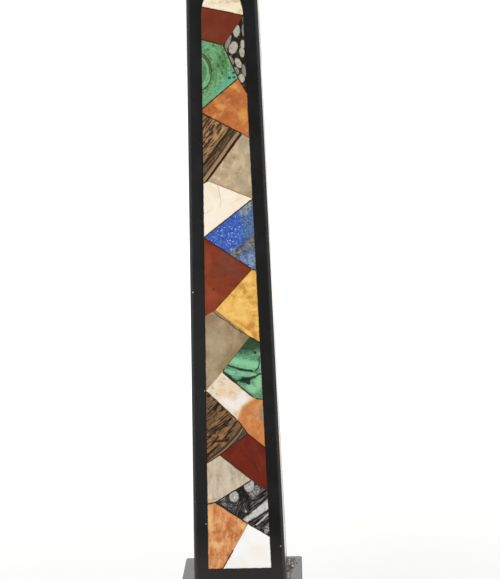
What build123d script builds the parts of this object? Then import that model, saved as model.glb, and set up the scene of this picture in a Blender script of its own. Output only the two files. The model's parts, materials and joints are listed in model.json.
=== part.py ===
"""Desk obelisk of polished black marble, inlaid on its four faces with specimen stones.

A square shaft, sawn from one block with its small pyramid, stands on a pedestal of four
pieces. Each face has a sunk panel with a pointed head. Twenty-one cut stones lie in it on
a bed of dark cement, which also fills the joints between them.

Millimetres, +Z up. The origin is the middle of the pedestal's underside, and the front
face looks towards -Y.
"""

import math
import os

from build123d import *

# ---------------------------------------------------------------- driving dimensions

# Shaft and pyramid
SHAFT_FOOT_WIDTH = 51.3
SHAFT_HEAD_WIDTH = 36.7
SHAFT_HEIGHT = 342.0
PYRAMID_HEIGHT = 35.0
PYRAMID_TIP_WIDTH = 1.2      # the point is worn to a small flat
ARRIS_WIDTH = 1.0            # flat sawn off each long corner, measured on either face

# Sunk panel, the same on the four faces
PANEL_SIDE_BORDER = 7.65     # black marble left beside the panel
PANEL_FOOT_BORDER = 14.0     # under it
PANEL_HEAD_BORDER = 6.5      # and above its point

# Stones and cement
STONE_THICKNESS = 2.6
CEMENT_BED = 0.6             # cement under the stones
JOINT_WIDTH = 0.35           # cement between two stones, and half of it against the marble
JOINT_SINK = 0.12            # the joints are worn this far below the polished face

# Pedestal, from its top piece down
CAP_LEDGE = 8.75             # the cap beyond the shaft
CAP_HEIGHT = 6.0
DIE_INSET = 5.25             # the die back from the cap's edge
DIE_HEIGHT = 42.0
STEP_LEDGE = 6.5             # the step beyond the die
STEP_HEIGHT = 7.0
FOOT_LEDGE = 7.0             # the foot slab beyond the step
FOOT_HEIGHT = 9.0
CORNER_RADIUS = 1.6          # the upright corners of the four pieces, in plan
EDGE_RADIUS = 0.8            # softening of their level edges

# ---------------------------------------------------------------- the cutting pattern

# Corners of the stones, as shares of the panel. Across runs from -1 at its left edge to 1
# at its right edge. Up runs from 0 at its foot to 1 at the springing of its head.
CORNERS = {
    "over_left": (-1, 1.100),
    "over_right": (1, 1.100),
    "left_crown": (-1, 1.016),
    "left_a": (-1, 0.960),
    "left_b": (-1, 0.839),
    "left_c": (-1, 0.832),
    "left_d": (-1, 0.708),
    "left_e": (-1, 0.612),
    "left_f": (-1, 0.471),
    "left_g": (-1, 0.334),
    "left_h": (-1, 0.200),
    "left_i": (-1, 0.123),
    "left_foot": (-1, 0),
    "right_crown": (1, 0.999),
    "right_a": (1, 0.863),
    "right_b": (1, 0.786),
    "right_c": (1, 0.679),
    "right_d": (1, 0.551),
    "right_e": (1, 0.420),
    "right_f": (1, 0.316),
    "right_g": (1, 0.226),
    "right_h": (1, 0.146),
    "right_i": (1, 0.060),
    "right_foot": (1, 0),
    "red_heel": (0.01, 0.949),
    "green_peak": (0.62, 0.891),
    "grey_peak": (0.68, 0.794),
    "cream_peak": (-0.81, 0.713),
    "gold_peak": (0.83, 0.553),
    "dove_peak": (-0.61, 0.481),
    "dove_side": (0.63, 0.431),
    "green_point": (-0.41, 0.368),
    "rose_side": (0.70, 0.318),
    "rose_belly": (0.28, 0.304),
    "rose_foot": (0.08, 0.279),
    "brown_side": (0.42, 0.253),
    "brown_foot": (-0.55, 0.215),
    "ash_side": (0.49, 0.167),
    "ash_foot": (-0.74, 0.126),
    "white_peak": (0.31, 0.085),
    "white_heel": (-0.54, 0),
}

# The stones from the head down: name on the front face, kind, and corners in order
STONES = [
    ("white_crown", "white", "left_crown over_left over_right right_crown"),
    ("red_upper", "red", "left_crown right_crown red_heel left_a"),
    ("fossil_upper", "fossil", "right_crown right_a green_peak red_heel"),
    ("green_ringed", "green", "left_a red_heel green_peak left_b"),
    ("orange_upper", "orange", "left_b green_peak right_a right_b grey_peak left_c"),
    ("brown_upper", "brown", "left_c grey_peak cream_peak left_d"),
    ("grey_upper", "grey", "grey_peak right_b right_c cream_peak"),
    ("cream", "cream", "left_d cream_peak right_c left_e"),
    ("blue", "blue", "right_c right_d gold_peak left_e"),
    ("red_middle", "red", "left_e gold_peak dove_peak left_f"),
    ("gold", "gold", "gold_peak right_d right_e dove_side dove_peak"),
    ("dove", "grey", "left_f dove_peak dove_side green_point left_g"),
    ("green_banded", "green", "dove_side right_e right_f rose_side green_point"),
    ("rose_white", "white", "left_g green_point rose_side rose_belly rose_foot"),
    ("orange_middle", "orange", "rose_side right_f right_g brown_side rose_foot rose_belly"),
    ("brown_lower", "brown", "left_g rose_foot brown_side brown_foot left_h"),
    ("red_lower", "red", "brown_side right_g right_h ash_side brown_foot"),
    ("ash", "grey", "left_h brown_foot ash_side ash_foot left_i"),
    ("fossil_lower", "fossil", "ash_side right_h right_i white_peak ash_foot"),
    ("orange_lower", "orange", "left_i ash_foot white_peak white_heel left_foot"),
    ("white_foot", "white", "white_peak right_i right_foot white_heel"),
]

# The faces in quarter turns from the front: name, hand of the pattern (-1 is mirrored),
# and whether the kinds of stone run down it in reverse order
FACES = [
    ("front", 1, False),
    ("right", -1, True),
    ("back", -1, False),
    ("left", 1, True),
]

# ---------------------------------------------------------------- sizes that follow

CAP_WIDTH = SHAFT_FOOT_WIDTH + 2 * CAP_LEDGE
DIE_WIDTH = CAP_WIDTH - 2 * DIE_INSET
STEP_WIDTH = DIE_WIDTH + 2 * STEP_LEDGE
FOOT_WIDTH = STEP_WIDTH + 2 * FOOT_LEDGE

LEVEL_STEP = FOOT_HEIGHT
LEVEL_DIE = LEVEL_STEP + STEP_HEIGHT
LEVEL_CAP = LEVEL_DIE + DIE_HEIGHT
LEVEL_SHAFT = LEVEL_CAP + CAP_HEIGHT
LEVEL_PYRAMID = LEVEL_SHAFT + SHAFT_HEIGHT

FACE_RUN = (SHAFT_FOOT_WIDTH - SHAFT_HEAD_WIDTH) / 2
FACE_LENGTH = math.hypot(SHAFT_HEIGHT, FACE_RUN)
FACE_LEAN = FACE_RUN / FACE_LENGTH
FACE_NORMAL = Vector(0, -SHAFT_HEIGHT, FACE_RUN).normalized()
FRONT_FACE = Plane(
    origin=(0, -SHAFT_FOOT_WIDTH / 2, LEVEL_SHAFT), x_dir=(1, 0, 0), z_dir=FACE_NORMAL
)

# The panel's head is an equilateral arch: each arc is struck from the other's springing
HEAD_RISE_RATIO = math.sqrt(3) / 2
PANEL_FOOT_SPAN = SHAFT_FOOT_WIDTH - 2 * PANEL_SIDE_BORDER
SPRINGING = (FACE_LENGTH - PANEL_HEAD_BORDER - HEAD_RISE_RATIO * PANEL_FOOT_SPAN) / (
    1 - 2 * HEAD_RISE_RATIO * FACE_LEAN
)
PANEL_DEPTH = STONE_THICKNESS + CEMENT_BED


# ---------------------------------------------------------------- shaft

def saw_four_sides(block, point, normal):
    """Saws a plane cut off the block four times, with a quarter turn after each."""
    cut = Plane(origin=point, z_dir=normal)
    for _ in range(4):
        block = Rot(0, 0, 90) * split(block, bisect_by=cut, keep=Keep.BOTTOM)
    return block


def plain_shaft():
    """The tapering shaft and its pyramid, one block, with its long corners sawn flat."""
    block = Pos(0, 0, LEVEL_SHAFT) * Box(
        SHAFT_FOOT_WIDTH,
        SHAFT_FOOT_WIDTH,
        SHAFT_HEIGHT + PYRAMID_HEIGHT,
        align=(Align.CENTER, Align.CENTER, Align.MIN),
    )
    foot, head = SHAFT_FOOT_WIDTH / 2, SHAFT_HEAD_WIDTH / 2
    pyramid_run = head - PYRAMID_TIP_WIDTH / 2
    block = saw_four_sides(block, (0, -foot, LEVEL_SHAFT), FACE_NORMAL)
    block = saw_four_sides(
        block, (0, -head, LEVEL_PYRAMID), (0, -PYRAMID_HEIGHT, pyramid_run)
    )
    block = saw_four_sides(
        block,
        (foot - ARRIS_WIDTH, -foot, LEVEL_SHAFT),
        (SHAFT_HEIGHT, -SHAFT_HEIGHT, 2 * FACE_RUN),
    )
    # The pyramid's flats narrow upwards and end at the corners of its tip
    return saw_four_sides(
        block,
        (head - ARRIS_WIDTH, -head, LEVEL_PYRAMID),
        (PYRAMID_HEIGHT, -PYRAMID_HEIGHT, 2 * pyramid_run - ARRIS_WIDTH),
    )


# ---------------------------------------------------------------- panels

def panel_point(across, up_share, hand):
    """A point of the panel in its face's plane, from its two shares."""
    up = PANEL_FOOT_BORDER + up_share * (SPRINGING - PANEL_FOOT_BORDER)
    half_span = PANEL_FOOT_SPAN / 2 - up * FACE_LEAN
    return (hand * across * half_span, up)


def panel_outline(hand):
    """The panel's own face: a tapering strip under its equilateral head."""
    left, right = panel_point(-1, 1, hand), panel_point(1, 1, hand)
    foot_left, foot_right = panel_point(-1, 0, hand), panel_point(1, 0, hand)
    span = abs(right[0] - left[0])
    apex = ((left[0] + right[0]) / 2, SPRINGING + HEAD_RISE_RATIO * span)
    half_arc = span * (1 - HEAD_RISE_RATIO)
    edges = [
        Line(left, foot_left),
        Line(foot_left, foot_right),
        Line(foot_right, right),
        SagittaArc(right, apex, -hand * half_arc),
        SagittaArc(apex, left, -hand * half_arc),
    ]
    return make_face(edges)


def stone_outline(corner_names, hand):
    """One stone's face, trimmed by the panel and relieved for its joints."""
    points = [panel_point(*CORNERS[name], hand) for name in corner_names.split()]
    cut_face = make_face(Polyline(*points, close=True)) & panel_outline(hand)
    return offset(cut_face, amount=-JOINT_WIDTH / 2, kind=Kind.INTERSECTION)


def raised(outline, quarter, depth, height):
    """An outline made solid on one side of the shaft, from a depth under its face."""
    solid = extrude(FRONT_FACE.offset(-depth) * outline, amount=height)
    return Rot(0, 0, 90 * quarter) * solid


def cut_stones(quarter, hand, reverse):
    """The stones of one face from the head down, as (name, kind, solid)."""
    kinds = [kind for _, kind, _ in STONES]
    if reverse:
        kinds.reverse()
    return [
        (
            name,
            kind,
            raised(stone_outline(corners, hand), quarter, STONE_THICKNESS, STONE_THICKNESS),
        )
        for (name, _, corners), kind in zip(STONES, kinds)
    ]


def cement(quarter, hand, stones):
    """The bed under one face's stones and the ribs between them, in one piece."""
    block = raised(panel_outline(hand), quarter, PANEL_DEPTH, PANEL_DEPTH - JOINT_SINK)
    return block - stones


# ---------------------------------------------------------------- pedestal

def dressed_slab(width, height, level):
    """A square piece of the pedestal, its upright corners and level edges rounded."""
    plan = Plane.XY.offset(level) * RectangleRounded(width, width, CORNER_RADIUS)
    slab = extrude(plan, amount=height)
    faces_upwards = slab.faces().sort_by(Axis.Z)
    level_edges = faces_upwards[0].edges() + faces_upwards[-1].edges()
    return fillet(level_edges, EDGE_RADIUS)


# ---------------------------------------------------------------- the whole

def build():
    """Every node by name, each a solid or a list of solids that don't touch."""
    nodes = {
        "pedestal_foot": dressed_slab(FOOT_WIDTH, FOOT_HEIGHT, 0),
        "pedestal_step": dressed_slab(STEP_WIDTH, STEP_HEIGHT, LEVEL_STEP),
        "pedestal_die": dressed_slab(DIE_WIDTH, DIE_HEIGHT, LEVEL_DIE),
        "pedestal_cap": dressed_slab(CAP_WIDTH, CAP_HEIGHT, LEVEL_CAP),
    }
    shaft = plain_shaft()
    for quarter, (face, hand, reverse) in enumerate(FACES):
        stones = cut_stones(quarter, hand, reverse)
        shaft -= raised(panel_outline(hand), quarter, PANEL_DEPTH, 2 * PANEL_DEPTH)
        nodes[f"{face}_cement"] = cement(quarter, hand, [solid for _, _, solid in stones])
        for name, kind, solid in stones:
            if face == "front":
                nodes[name] = solid
            else:
                nodes.setdefault(f"other_{kind}_stones", []).append(solid)
    nodes["shaft"] = shaft
    return nodes


def main():
    os.makedirs("parts", exist_ok=True)
    for name, shape in build().items():
        if isinstance(shape, list):
            shape = Compound(children=shape)
        export_step(shape, f"parts/{name}.step")


main()
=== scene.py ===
"""Dresses the packed desk obelisk: polished black marble, cut specimen stones, dark cement.

Each operator below makes or dresses one group of like pieces, and one sets up the studio.
Lengths in the formulas are millimetres, and times MM they are the scene's metres. The
frame is Z up with its front face towards -Y.
"""

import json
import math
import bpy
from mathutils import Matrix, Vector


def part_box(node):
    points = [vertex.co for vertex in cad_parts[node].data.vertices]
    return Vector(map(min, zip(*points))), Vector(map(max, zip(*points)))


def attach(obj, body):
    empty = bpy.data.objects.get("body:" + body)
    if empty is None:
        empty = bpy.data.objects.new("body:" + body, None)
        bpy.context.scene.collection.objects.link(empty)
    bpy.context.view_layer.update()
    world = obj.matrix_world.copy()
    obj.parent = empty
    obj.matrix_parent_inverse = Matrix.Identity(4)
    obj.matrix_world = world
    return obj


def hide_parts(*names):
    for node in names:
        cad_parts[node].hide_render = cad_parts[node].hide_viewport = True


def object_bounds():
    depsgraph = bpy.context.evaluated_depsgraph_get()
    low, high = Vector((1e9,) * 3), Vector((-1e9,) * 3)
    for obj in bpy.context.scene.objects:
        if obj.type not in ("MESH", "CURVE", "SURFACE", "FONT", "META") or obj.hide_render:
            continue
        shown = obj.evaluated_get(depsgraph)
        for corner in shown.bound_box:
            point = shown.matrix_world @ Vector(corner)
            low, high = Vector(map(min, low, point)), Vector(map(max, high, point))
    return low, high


bl_info = {
    "name": "Inlaid Desk Obelisk",
    "version": (1, 0, 0),
    "blender": (4, 5, 0),
    "location": "3D View > Sidebar > Obelisk",
    "description": "Dresses a black marble desk obelisk with its specimen stones",
    "category": "Object",
}

from functools import reduce

import bpy
import numpy as np
from mathutils import Color, Quaternion, Vector

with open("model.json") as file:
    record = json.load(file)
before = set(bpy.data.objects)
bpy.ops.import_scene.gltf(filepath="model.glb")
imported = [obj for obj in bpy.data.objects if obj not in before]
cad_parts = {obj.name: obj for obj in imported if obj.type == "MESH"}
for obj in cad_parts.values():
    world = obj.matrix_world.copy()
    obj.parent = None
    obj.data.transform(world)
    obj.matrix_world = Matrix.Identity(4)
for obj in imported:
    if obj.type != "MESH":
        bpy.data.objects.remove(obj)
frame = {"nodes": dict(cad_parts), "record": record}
CAD_LOW, CAD_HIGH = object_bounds()

MM = 0.001

# ---------------- what the frame gives

SHAFT_LOW, SHAFT_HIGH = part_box("shaft")
SHAFT_FOOT, SHAFT_TIP, SHAFT_HALF = SHAFT_LOW.z / MM, SHAFT_HIGH.z / MM, SHAFT_HIGH.x / MM
CAP_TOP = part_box("pedestal_cap")[1].z / MM
PEDESTAL_NODES = ("pedestal_cap", "pedestal_die", "pedestal_step", "pedestal_foot")
CEMENT_NODES = ("front_cement", "right_cement", "back_cement", "left_cement")
FRONT_ORDER = [part["node"] for part in frame["record"]["subparts"]]


def mesh_arrays(node):
    """A CAD node's corners in millimetres and its triangles, with doubled corners merged."""
    mesh = frame["nodes"][node].data
    corners = np.empty(len(mesh.vertices) * 3, np.float32)
    mesh.vertices.foreach_get("co", corners)
    triangles = np.array([tuple(p.vertices) for p in mesh.polygons])
    corners = np.round(corners.reshape(-1, 3) / MM, 3)
    found, place = np.unique(corners, axis=0, return_inverse=True)
    return found.astype(float), place.ravel()[triangles]


def triangle_normals(corners, triangles):
    """Unit normals of the triangles, and zeros where a triangle has no area."""
    a, b, c = (corners[triangles[:, k]] for k in range(3))
    cross = np.cross(b - a, c - a)
    return cross / np.maximum(np.linalg.norm(cross, axis=1, keepdims=True), 1e-9)


def front_lean():
    """How far the front face leans back for each millimetre up it."""
    normals = triangle_normals(*mesh_arrays("white_foot"))
    return float(normals[normals[:, 1].argmin(), 2])


FACE_LEAN = front_lean()
FACE_RISE = math.sqrt(1 - FACE_LEAN**2)


def face_frame(quarter):
    """Origin, across, up and outward directions of a face, a quarter turn at a time."""
    angle = math.radians(90 * quarter)
    cos, sin = math.cos(angle), math.sin(angle)
    turn = np.array([[cos, -sin, 0], [sin, cos, 0], [0, 0, 1]])
    origin, across = np.array([0, -SHAFT_HALF, SHAFT_FOOT]), np.array([1.0, 0, 0])
    up = np.array([0, FACE_LEAN, FACE_RISE])
    return tuple(turn @ v for v in (origin, across, up, np.cross(across, up)))


def pyramid_foot():
    """The height at which the shaft's sides end and its pyramid begins."""
    heights = mesh_arrays("shaft")[0][:, 2]
    return float(heights[heights < heights.max() - 1].max())


PYRAMID_FOOT = pyramid_foot()


def stone_thickness():
    """Depth of the stones, from the front and back of one of them."""
    origin, _, _, outward = face_frame(0)
    level = (mesh_arrays("white_foot")[0] - origin) @ outward
    return float(level.max() - level.min())


STONE_THICKNESS = stone_thickness()

# ---------------- properties


def tint(name, description, *seen):
    """A colour property, written as the eye sees it, from 0 to 255."""
    return bpy.props.FloatVectorProperty(
        name=name, description=description, default=[c / 255 for c in seen],
        min=0, max=1, size=3, subtype="COLOR_GAMMA",
    )


def span(name, description, millimetres):
    """A length property."""
    return bpy.props.FloatProperty(
        name=name, description=description, default=millimetres * MM,
        min=0, precision=5, subtype="DISTANCE", unit="LENGTH",
    )


def share(name, description, default):
    """A property from 0 to 1."""
    return bpy.props.FloatProperty(
        name=name, description=description, default=default, min=0, max=1, subtype="FACTOR"
    )


def angle(name, description, degrees):
    """An angle property."""
    return bpy.props.FloatProperty(
        name=name, description=description, default=math.radians(degrees),
        subtype="ANGLE", unit="ROTATION",
    )


def lamp(name, description, watts):
    """A lamp's power property."""
    return bpy.props.FloatProperty(
        name=name, description=description, default=watts, min=0, subtype="POWER", unit="POWER"
    )


class ObeliskStudio(bpy.types.PropertyGroup):
    """The floor, the lamps and the camera."""

    lens: bpy.props.FloatProperty(
        name="Lens", description="Focal length", default=93.3, min=1, unit="CAMERA"
    )
    distance: span("Distance", "From the camera to the point it looks at", 832)
    azimuth: angle("Azimuth", "How far the camera stands to the right of the front", 1.9)
    elevation: angle("Elevation", "How far the camera stands above the level", 9.2)
    roll: angle("Roll", "Turn of the camera about its own line of sight", -1.78)
    aim_across: span("Aim across", "The point looked at, right of the axis", 9.6)
    aim_up: span("Aim up", "The point looked at, above the shaft's foot", 166.5)
    floor_colour: tint("Floor", "Colour of the floor", 236, 236, 234)
    sky_colour: tint("Surround", "Colour of the light all round", 255, 255, 255)
    sky_strength: share("Surround strength", "Light that comes from all round", 0.74)
    key_power: lamp("Key lamp", "Power of the large lamp at the left", 11)
    fill_power: lamp("Fill lamp", "Power of the large lamp at the right", 5)
    back_power: lamp("Back lamp", "Power of the large lamp behind", 6)


class BlackMarbleLook(bpy.types.PropertyGroup):
    """The shaft and the pedestal."""

    body: tint("Body", "Colour of the black marble", 14, 14, 13)
    cloud: tint("Cloud", "Its faint lighter clouding", 25, 25, 27)
    hairline: tint("Hairlines", "Its thin grey veins", 74, 73, 71)
    speck: tint("Specks", "Small white shell fragments and chips", 205, 203, 196)
    # Lighter grey along the arrises: real wear, and a painted highlight where they catch the
    # light.
    wear_and_highlight: tint("Worn arris", "Where handling has dulled the arrises", 66, 66, 67)
    # A lighter grey for the front's left border: a handling smear and a painted sheen.
    smear_and_sheen: tint("Smear", "Where hands have dulled the front", 44, 45, 44)
    dust: tint("Dust", "Dust and dried wax on the shaft's foot", 78, 75, 71)
    # The dark tone on the cap beside the shaft: dirty bedding, and a painted reflection of the
    # shaft.
    residue_and_reflection: tint("Residue", "Dirty bedding on the cap", 42, 35, 29)
    residue_pale: tint("Pale residue", "Chalkier crusts in it", 160, 156, 150)
    # A lighter grey for the level tops: old wax and a painted sheen.
    wax_film_and_sheen: tint("Film", "Old wax on the level faces", 80, 74, 76)
    # How far the wear and the painted arris highlight reach in from an arris.
    wear_and_highlight_width: span("Wear width", "How far the wear reaches in from an arris", 1.2)
    gloss: share("Roughness", "Roughness of the polished faces", 0.08)
    wax: share("Wax", "Wax left to shine on the level faces", 0.9)


class CementLook(bpy.types.PropertyGroup):
    """The joints between the stones."""

    body: tint("Body", "Colour of the cement", 70, 44, 27)
    dark: tint("Dark", "Where wax and dirt have filled it", 26, 19, 14)
    stain: tint("Stain", "Where it has stained the edges of the stones", 84, 56, 34)
    stain_width: span("Stain width", "How far it has stained the edges of the stones", 0.36)


class BeddingLook(bpy.types.PropertyGroup):
    """The beads squeezed out of the joints between the blocks."""

    bed_pale: tint("Pale", "The chalky tone of the bedding on the cap", 172, 167, 158)
    bed_low: tint("Below", "Its dusty tone lower down", 88, 85, 79)
    bed_dark: tint("Dark", "Its dirty hollows", 46, 43, 40)
    crumb: tint("Crumbs", "Its white crumbs", 216, 213, 205)
    bead_width: span("Width", "How far the bead stands out from the shaft's foot", 0.75)
    bead_height: span("Height", "How high the bead stands on the cap", 0.45)


class CutStoneShape(bpy.types.PropertyGroup):
    """The form of every inlaid stone."""

    rounding: span("Rounding", "Radius of the stones' polished edges", 0.12)
    crown: span("Crown", "Rise of a stone's middle above its edge", 0.02)
    spacing: span("Spacing", "Distance between points round a stone", 1.2)


# ---------------- node expressions


def light(tone):
    """A tone as light, with its alpha. A property's colour, or three numbers up to 255, is
    as the eye sees it, and anything else is light already."""
    if isinstance(tone, Color):
        seen = tuple(tone)
    elif isinstance(tone, tuple) and len(tone) == 3:
        seen = [c / 255 for c in tone]
    else:
        return tone
    return (*(c / 12.92 if c <= 0.04045 else ((c + 0.055) / 1.055) ** 2.4 for c in seen), 1.0)


def deepened(tone, share):
    """A tone with a share of its light."""
    return (*(c * share for c in light(tone)[:3]), 1.0)


# An oval's third radius, so great that a place's third number hardly counts.
DEEP = 1e4


class Term:
    """An output of a node: a number, a place or a colour.

    Python's operators on a number add Math nodes, and the methods add the patterns that
    are read at a place, and the masks and colours that are made from a number.
    """

    def __init__(self, nodes, socket):
        self.nodes = nodes
        self.socket = socket

    def __add__(self, other):
        return self.nodes.maths("ADD", self, other)

    def __sub__(self, other):
        return self.nodes.maths("SUBTRACT", self, other)

    def __rsub__(self, other):
        return self.nodes.maths("SUBTRACT", other, self)

    def __mul__(self, other):
        return self.nodes.maths("MULTIPLY", self, other)

    def __truediv__(self, other):
        return self.nodes.maths("DIVIDE", self, other)

    def __abs__(self):
        return self.nodes.maths("ABSOLUTE", self)

    __radd__ = __add__
    __rmul__ = __mul__

    def least(self, other):
        return self.nodes.maths("MINIMUM", self, other)

    def most(self, other):
        return self.nodes.maths("MAXIMUM", self, other)

    def root(self):
        return self.nodes.maths("SQRT", self)

    def ease(self, low, high):
        """0 up to low, 1 from high, and a smooth step between; low may be the larger."""
        settings = {"interpolation_type": "SMOOTHSTEP", "clamp": True}
        ends = {"Value": self, "From Min": low, "From Max": high}
        return self.nodes.add("ShaderNodeMapRange", settings, ends)

    def blend(self, below, above, how="MIX"):
        """One tone laid over another, as far as this mask reaches."""
        settings = {"data_type": "RGBA", "blend_type": how, "clamp_factor": True}
        tones = {0: self, 6: light(below), 7: light(above)}
        return self.nodes.add("ShaderNodeMix", settings, tones, 2)

    def ramp(self, stops):
        """A colour picked by this number from 0 to 1: (position, tone) each."""
        return self.nodes.add("ShaderNodeValToRGB", {"stops": stops}, {0: self}, "Color")

    def parts(self):
        """The three components of a place."""
        return self.nodes.add("ShaderNodeSeparateXYZ", {}, {0: self}, (0, 1, 2))

    def mapped(self, centre, spin, sizes):
        """This place about a centre, turned back by three angles, divided by three sizes."""
        mapping = {"Vector": self, "Location": centre, "Rotation": spin, "Scale": sizes}
        return self.nodes.add("ShaderNodeMapping", {"vector_type": "TEXTURE"}, mapping)

    def about(self, centre, turn, sizes=(1, 1, 1)):
        """This place about a centre, turned in the face's plane, divided by sizes."""
        return self.mapped((*centre, 0), (0, 0, math.radians(turn)), sizes)

    def shifted(self, amount, size):
        """This place pushed about by noise, by up to half the amount each way."""
        noise = {"Vector": self, "Scale": 1 / size}
        push = self.nodes.add("ShaderNodeTexNoise", {}, noise, "Color")
        centred = self.nodes.vectors("SUBTRACT", push, (0.5, 0.5, 0.5))
        return self.nodes.vectors("MULTIPLY_ADD", centred, (amount,) * 3, self)

    def cloud(self, size, detail=3.0, rough=0.5, warp=0.0):
        """Noise from 0 to 1 whose lumps are about a size across."""
        noise = {"Scale": 1 / size, "Detail": detail, "Roughness": rough, "Distortion": warp}
        return self.nodes.add("ShaderNodeTexNoise", {}, {"Vector": self, **noise})

    def grain(self, turn, length, width, detail=3.0, rough=0.5):
        """Noise drawn out along a direction: streaks about a length by a width."""
        return self.about((0, 0), turn, (length, width, 1)).cloud(1, detail, rough)

    def cells(self, size, feature="F1"):
        """Distances in a Voronoi pattern whose cells are about a size across."""
        pattern = {"Vector": self, "Scale": 1 / size, "Randomness": 1.0}
        return self.nodes.add("ShaderNodeTexVoronoi", {"feature": feature}, pattern)

    def distance_from(self, centre):
        """Distance of this place from a centre."""
        return self.nodes.vectors("DISTANCE", self, tuple(centre), output="Value")

    def oval(self, centre, radii, turn=0.0):
        """Distance from a centre in an oval's own radii: 1 on its rim, less inside."""
        flat = self.about(centre, turn, (*radii, DEEP))
        return self.nodes.vectors("LENGTH", flat, output="Value")

    def line_mask(self, lines, stir=0.5):
        """1 on lines and 0 away from them: (across, up, across, up, width) each.

        The distance from a line is that from its infinite line, and past its ends that from
        the nearer end. The mask fades from a quarter of the width to three quarters.
        """
        bent = self.shifted(stir, 2.2) if stir else self
        masks = []
        for x0, y0, x1, y1, width in lines:
            half = math.dist((x0, y0), (x1, y1)) / 2
            turn = math.degrees(math.atan2(y1 - y0, x1 - x0))
            along, off, _ = bent.about(((x0 + x1) / 2, (y0 + y1) / 2), turn).parts()
            beyond = (abs(along) - half).most(0)
            distance = (beyond * beyond + off * off).root()
            masks.append(distance.ease(width * 0.75, width * 0.25))
        return reduce(Term.most, masks)


class Nodes:
    """A node tree and the few ways in which nodes are added to it."""

    def __init__(self, tree):
        self.tree = tree
        self.tree.nodes.clear()

    def add(self, kind, settings=None, inputs=None, output=0):
        """Adds a node, sets it up, feeds its inputs and returns one of its outputs."""
        node = self.tree.nodes.new(kind)
        for key, value in (settings or {}).items():
            if key == "stops":
                set_stops(node.color_ramp, value)
            else:
                setattr(node, key, value)
        for key, value in (inputs or {}).items():
            if isinstance(value, Term):
                self.tree.links.new(value.socket, node.inputs[key])
            else:
                node.inputs[key].default_value = value
        if isinstance(output, tuple):
            return tuple(Term(self, node.outputs[o]) for o in output)
        return Term(self, node.outputs[output]) if len(node.outputs) else None

    def maths(self, operation, *terms):
        """A Math node on numbers."""
        return self.add("ShaderNodeMath", {"operation": operation}, dict(enumerate(terms)))

    def vectors(self, operation, *terms, output=0):
        """A Vector Math node on places."""
        terms = dict(enumerate(terms))
        return self.add("ShaderNodeVectorMath", {"operation": operation}, terms, output)

    def vector(self, *parts):
        """A place put together from its components."""
        return self.add("ShaderNodeCombineXYZ", {}, dict(enumerate(parts)))

    def object_place(self, turn=0.0, sizes=(1, 1, 1)):
        """Object coordinates in millimetres, turned in the front's plane, over sizes."""
        place = self.add("ShaderNodeTexCoord", output="Object")
        spin = (0, math.radians(-turn), 0)
        return place.mapped((0, 0, 0), spin, tuple(s * MM for s in sizes))

    def white_mask(self):
        """1 for what the camera and polished faces see, and 0 for light on its way."""
        rays = ("Is Camera Ray", "Is Glossy Ray")
        camera, glossy = self.add("ShaderNodeLightPath", output=rays)
        return camera.most(glossy)


def set_stops(ramp, stops):
    """Puts the stops of a colour ramp."""
    while len(ramp.elements) > 1:
        ramp.elements.remove(ramp.elements[-1])
    ramp.elements[0].position, ramp.elements[0].color = stops[0][0], light(stops[0][1])
    for position, tone in stops[1:]:
        ramp.elements.new(position).color = light(tone)


class Finish(Nodes):
    """A material made of nodes, with the place it is read at and a colour laid on in
    layers."""

    def __init__(self, name):
        self.material = bpy.data.materials.new(name)
        self.material.use_nodes = True
        super().__init__(self.material.node_tree)
        self.place = self.own_place()
        self.colour = None

    def own_place(self):
        """The place that the material is read at: object coordinates."""
        return self.object_place()

    def lay(self, tone, mask, low=None, high=None, strength=None, how="MIX"):
        """Lays a tone over the colour by a mask, eased from low to high, at a strength."""
        mask = mask if low is None else mask.ease(low, high)
        mask = mask if strength is None else mask * strength
        self.colour = mask.blend(self.colour, tone, how)

    def ovals(self, tone, ovals, strength=1.0, soft=0.12, stir=0.7):
        """Lays a tone over ovals: (across, up, half width, half height) each, and a turn
        where they lean."""
        bent = self.place.shifted(stir, 1.6)
        rims = [bent.oval((x, y), (wide, high), *turn) for x, y, wide, high, *turn in ovals]
        self.lay(tone, reduce(Term.least, rims), 1 + soft, 1 - soft, strength)

    def lines(self, tone, lines, strength=1.0, stir=0.5):
        """Lays a tone over lines."""
        self.lay(tone, self.place.line_mask(lines, stir) * strength)

    def polish(self, roughness, height, ior=1.2, coat=0.0):
        """Closes the material: a polished surface whose height is in millimetres."""
        bump = {"Strength": 1.0, "Distance": MM, "Height": height}
        surface = {
            "Base Color": self.colour, "Roughness": roughness, "IOR": ior, "Coat Weight": coat,
            "Coat Roughness": 0.06, "Normal": self.add("ShaderNodeBump", {}, bump),
        }
        return self.close("ShaderNodeBsdfPrincipled", surface)

    def close(self, kind, surface):
        """Closes the material with a shader."""
        shader = self.add(kind, {}, surface)
        self.add("ShaderNodeOutputMaterial", {}, {"Surface": shader})
        return self.material


# ---------------- black marble


def shaft_half(place):
    """Half the shaft's width at a height: it narrows evenly, and faster in the pyramid."""
    z = place.parts()[2]
    slope, tip_half = FACE_LEAN / FACE_RISE, 0.6
    along_shaft = SHAFT_HALF - (z - SHAFT_FOOT) * slope
    head_half = SHAFT_HALF - (PYRAMID_FOOT - SHAFT_FOOT) * slope
    along_pyramid = (SHAFT_TIP - z) * (head_half / (SHAFT_TIP - PYRAMID_FOOT)) + tip_half
    return along_shaft.least(along_pyramid)


def shaft_edge(place):
    """Distance from the sawn flats of the shaft's arrises, and from the pyramid's foot."""
    x, y, z = place.parts()
    half, flat = shaft_half(place), 0.8
    beside = (half - abs(x)).most(half - abs(y))
    return beside.least(abs(z - PYRAMID_FOOT) + 1.0) - flat


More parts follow.
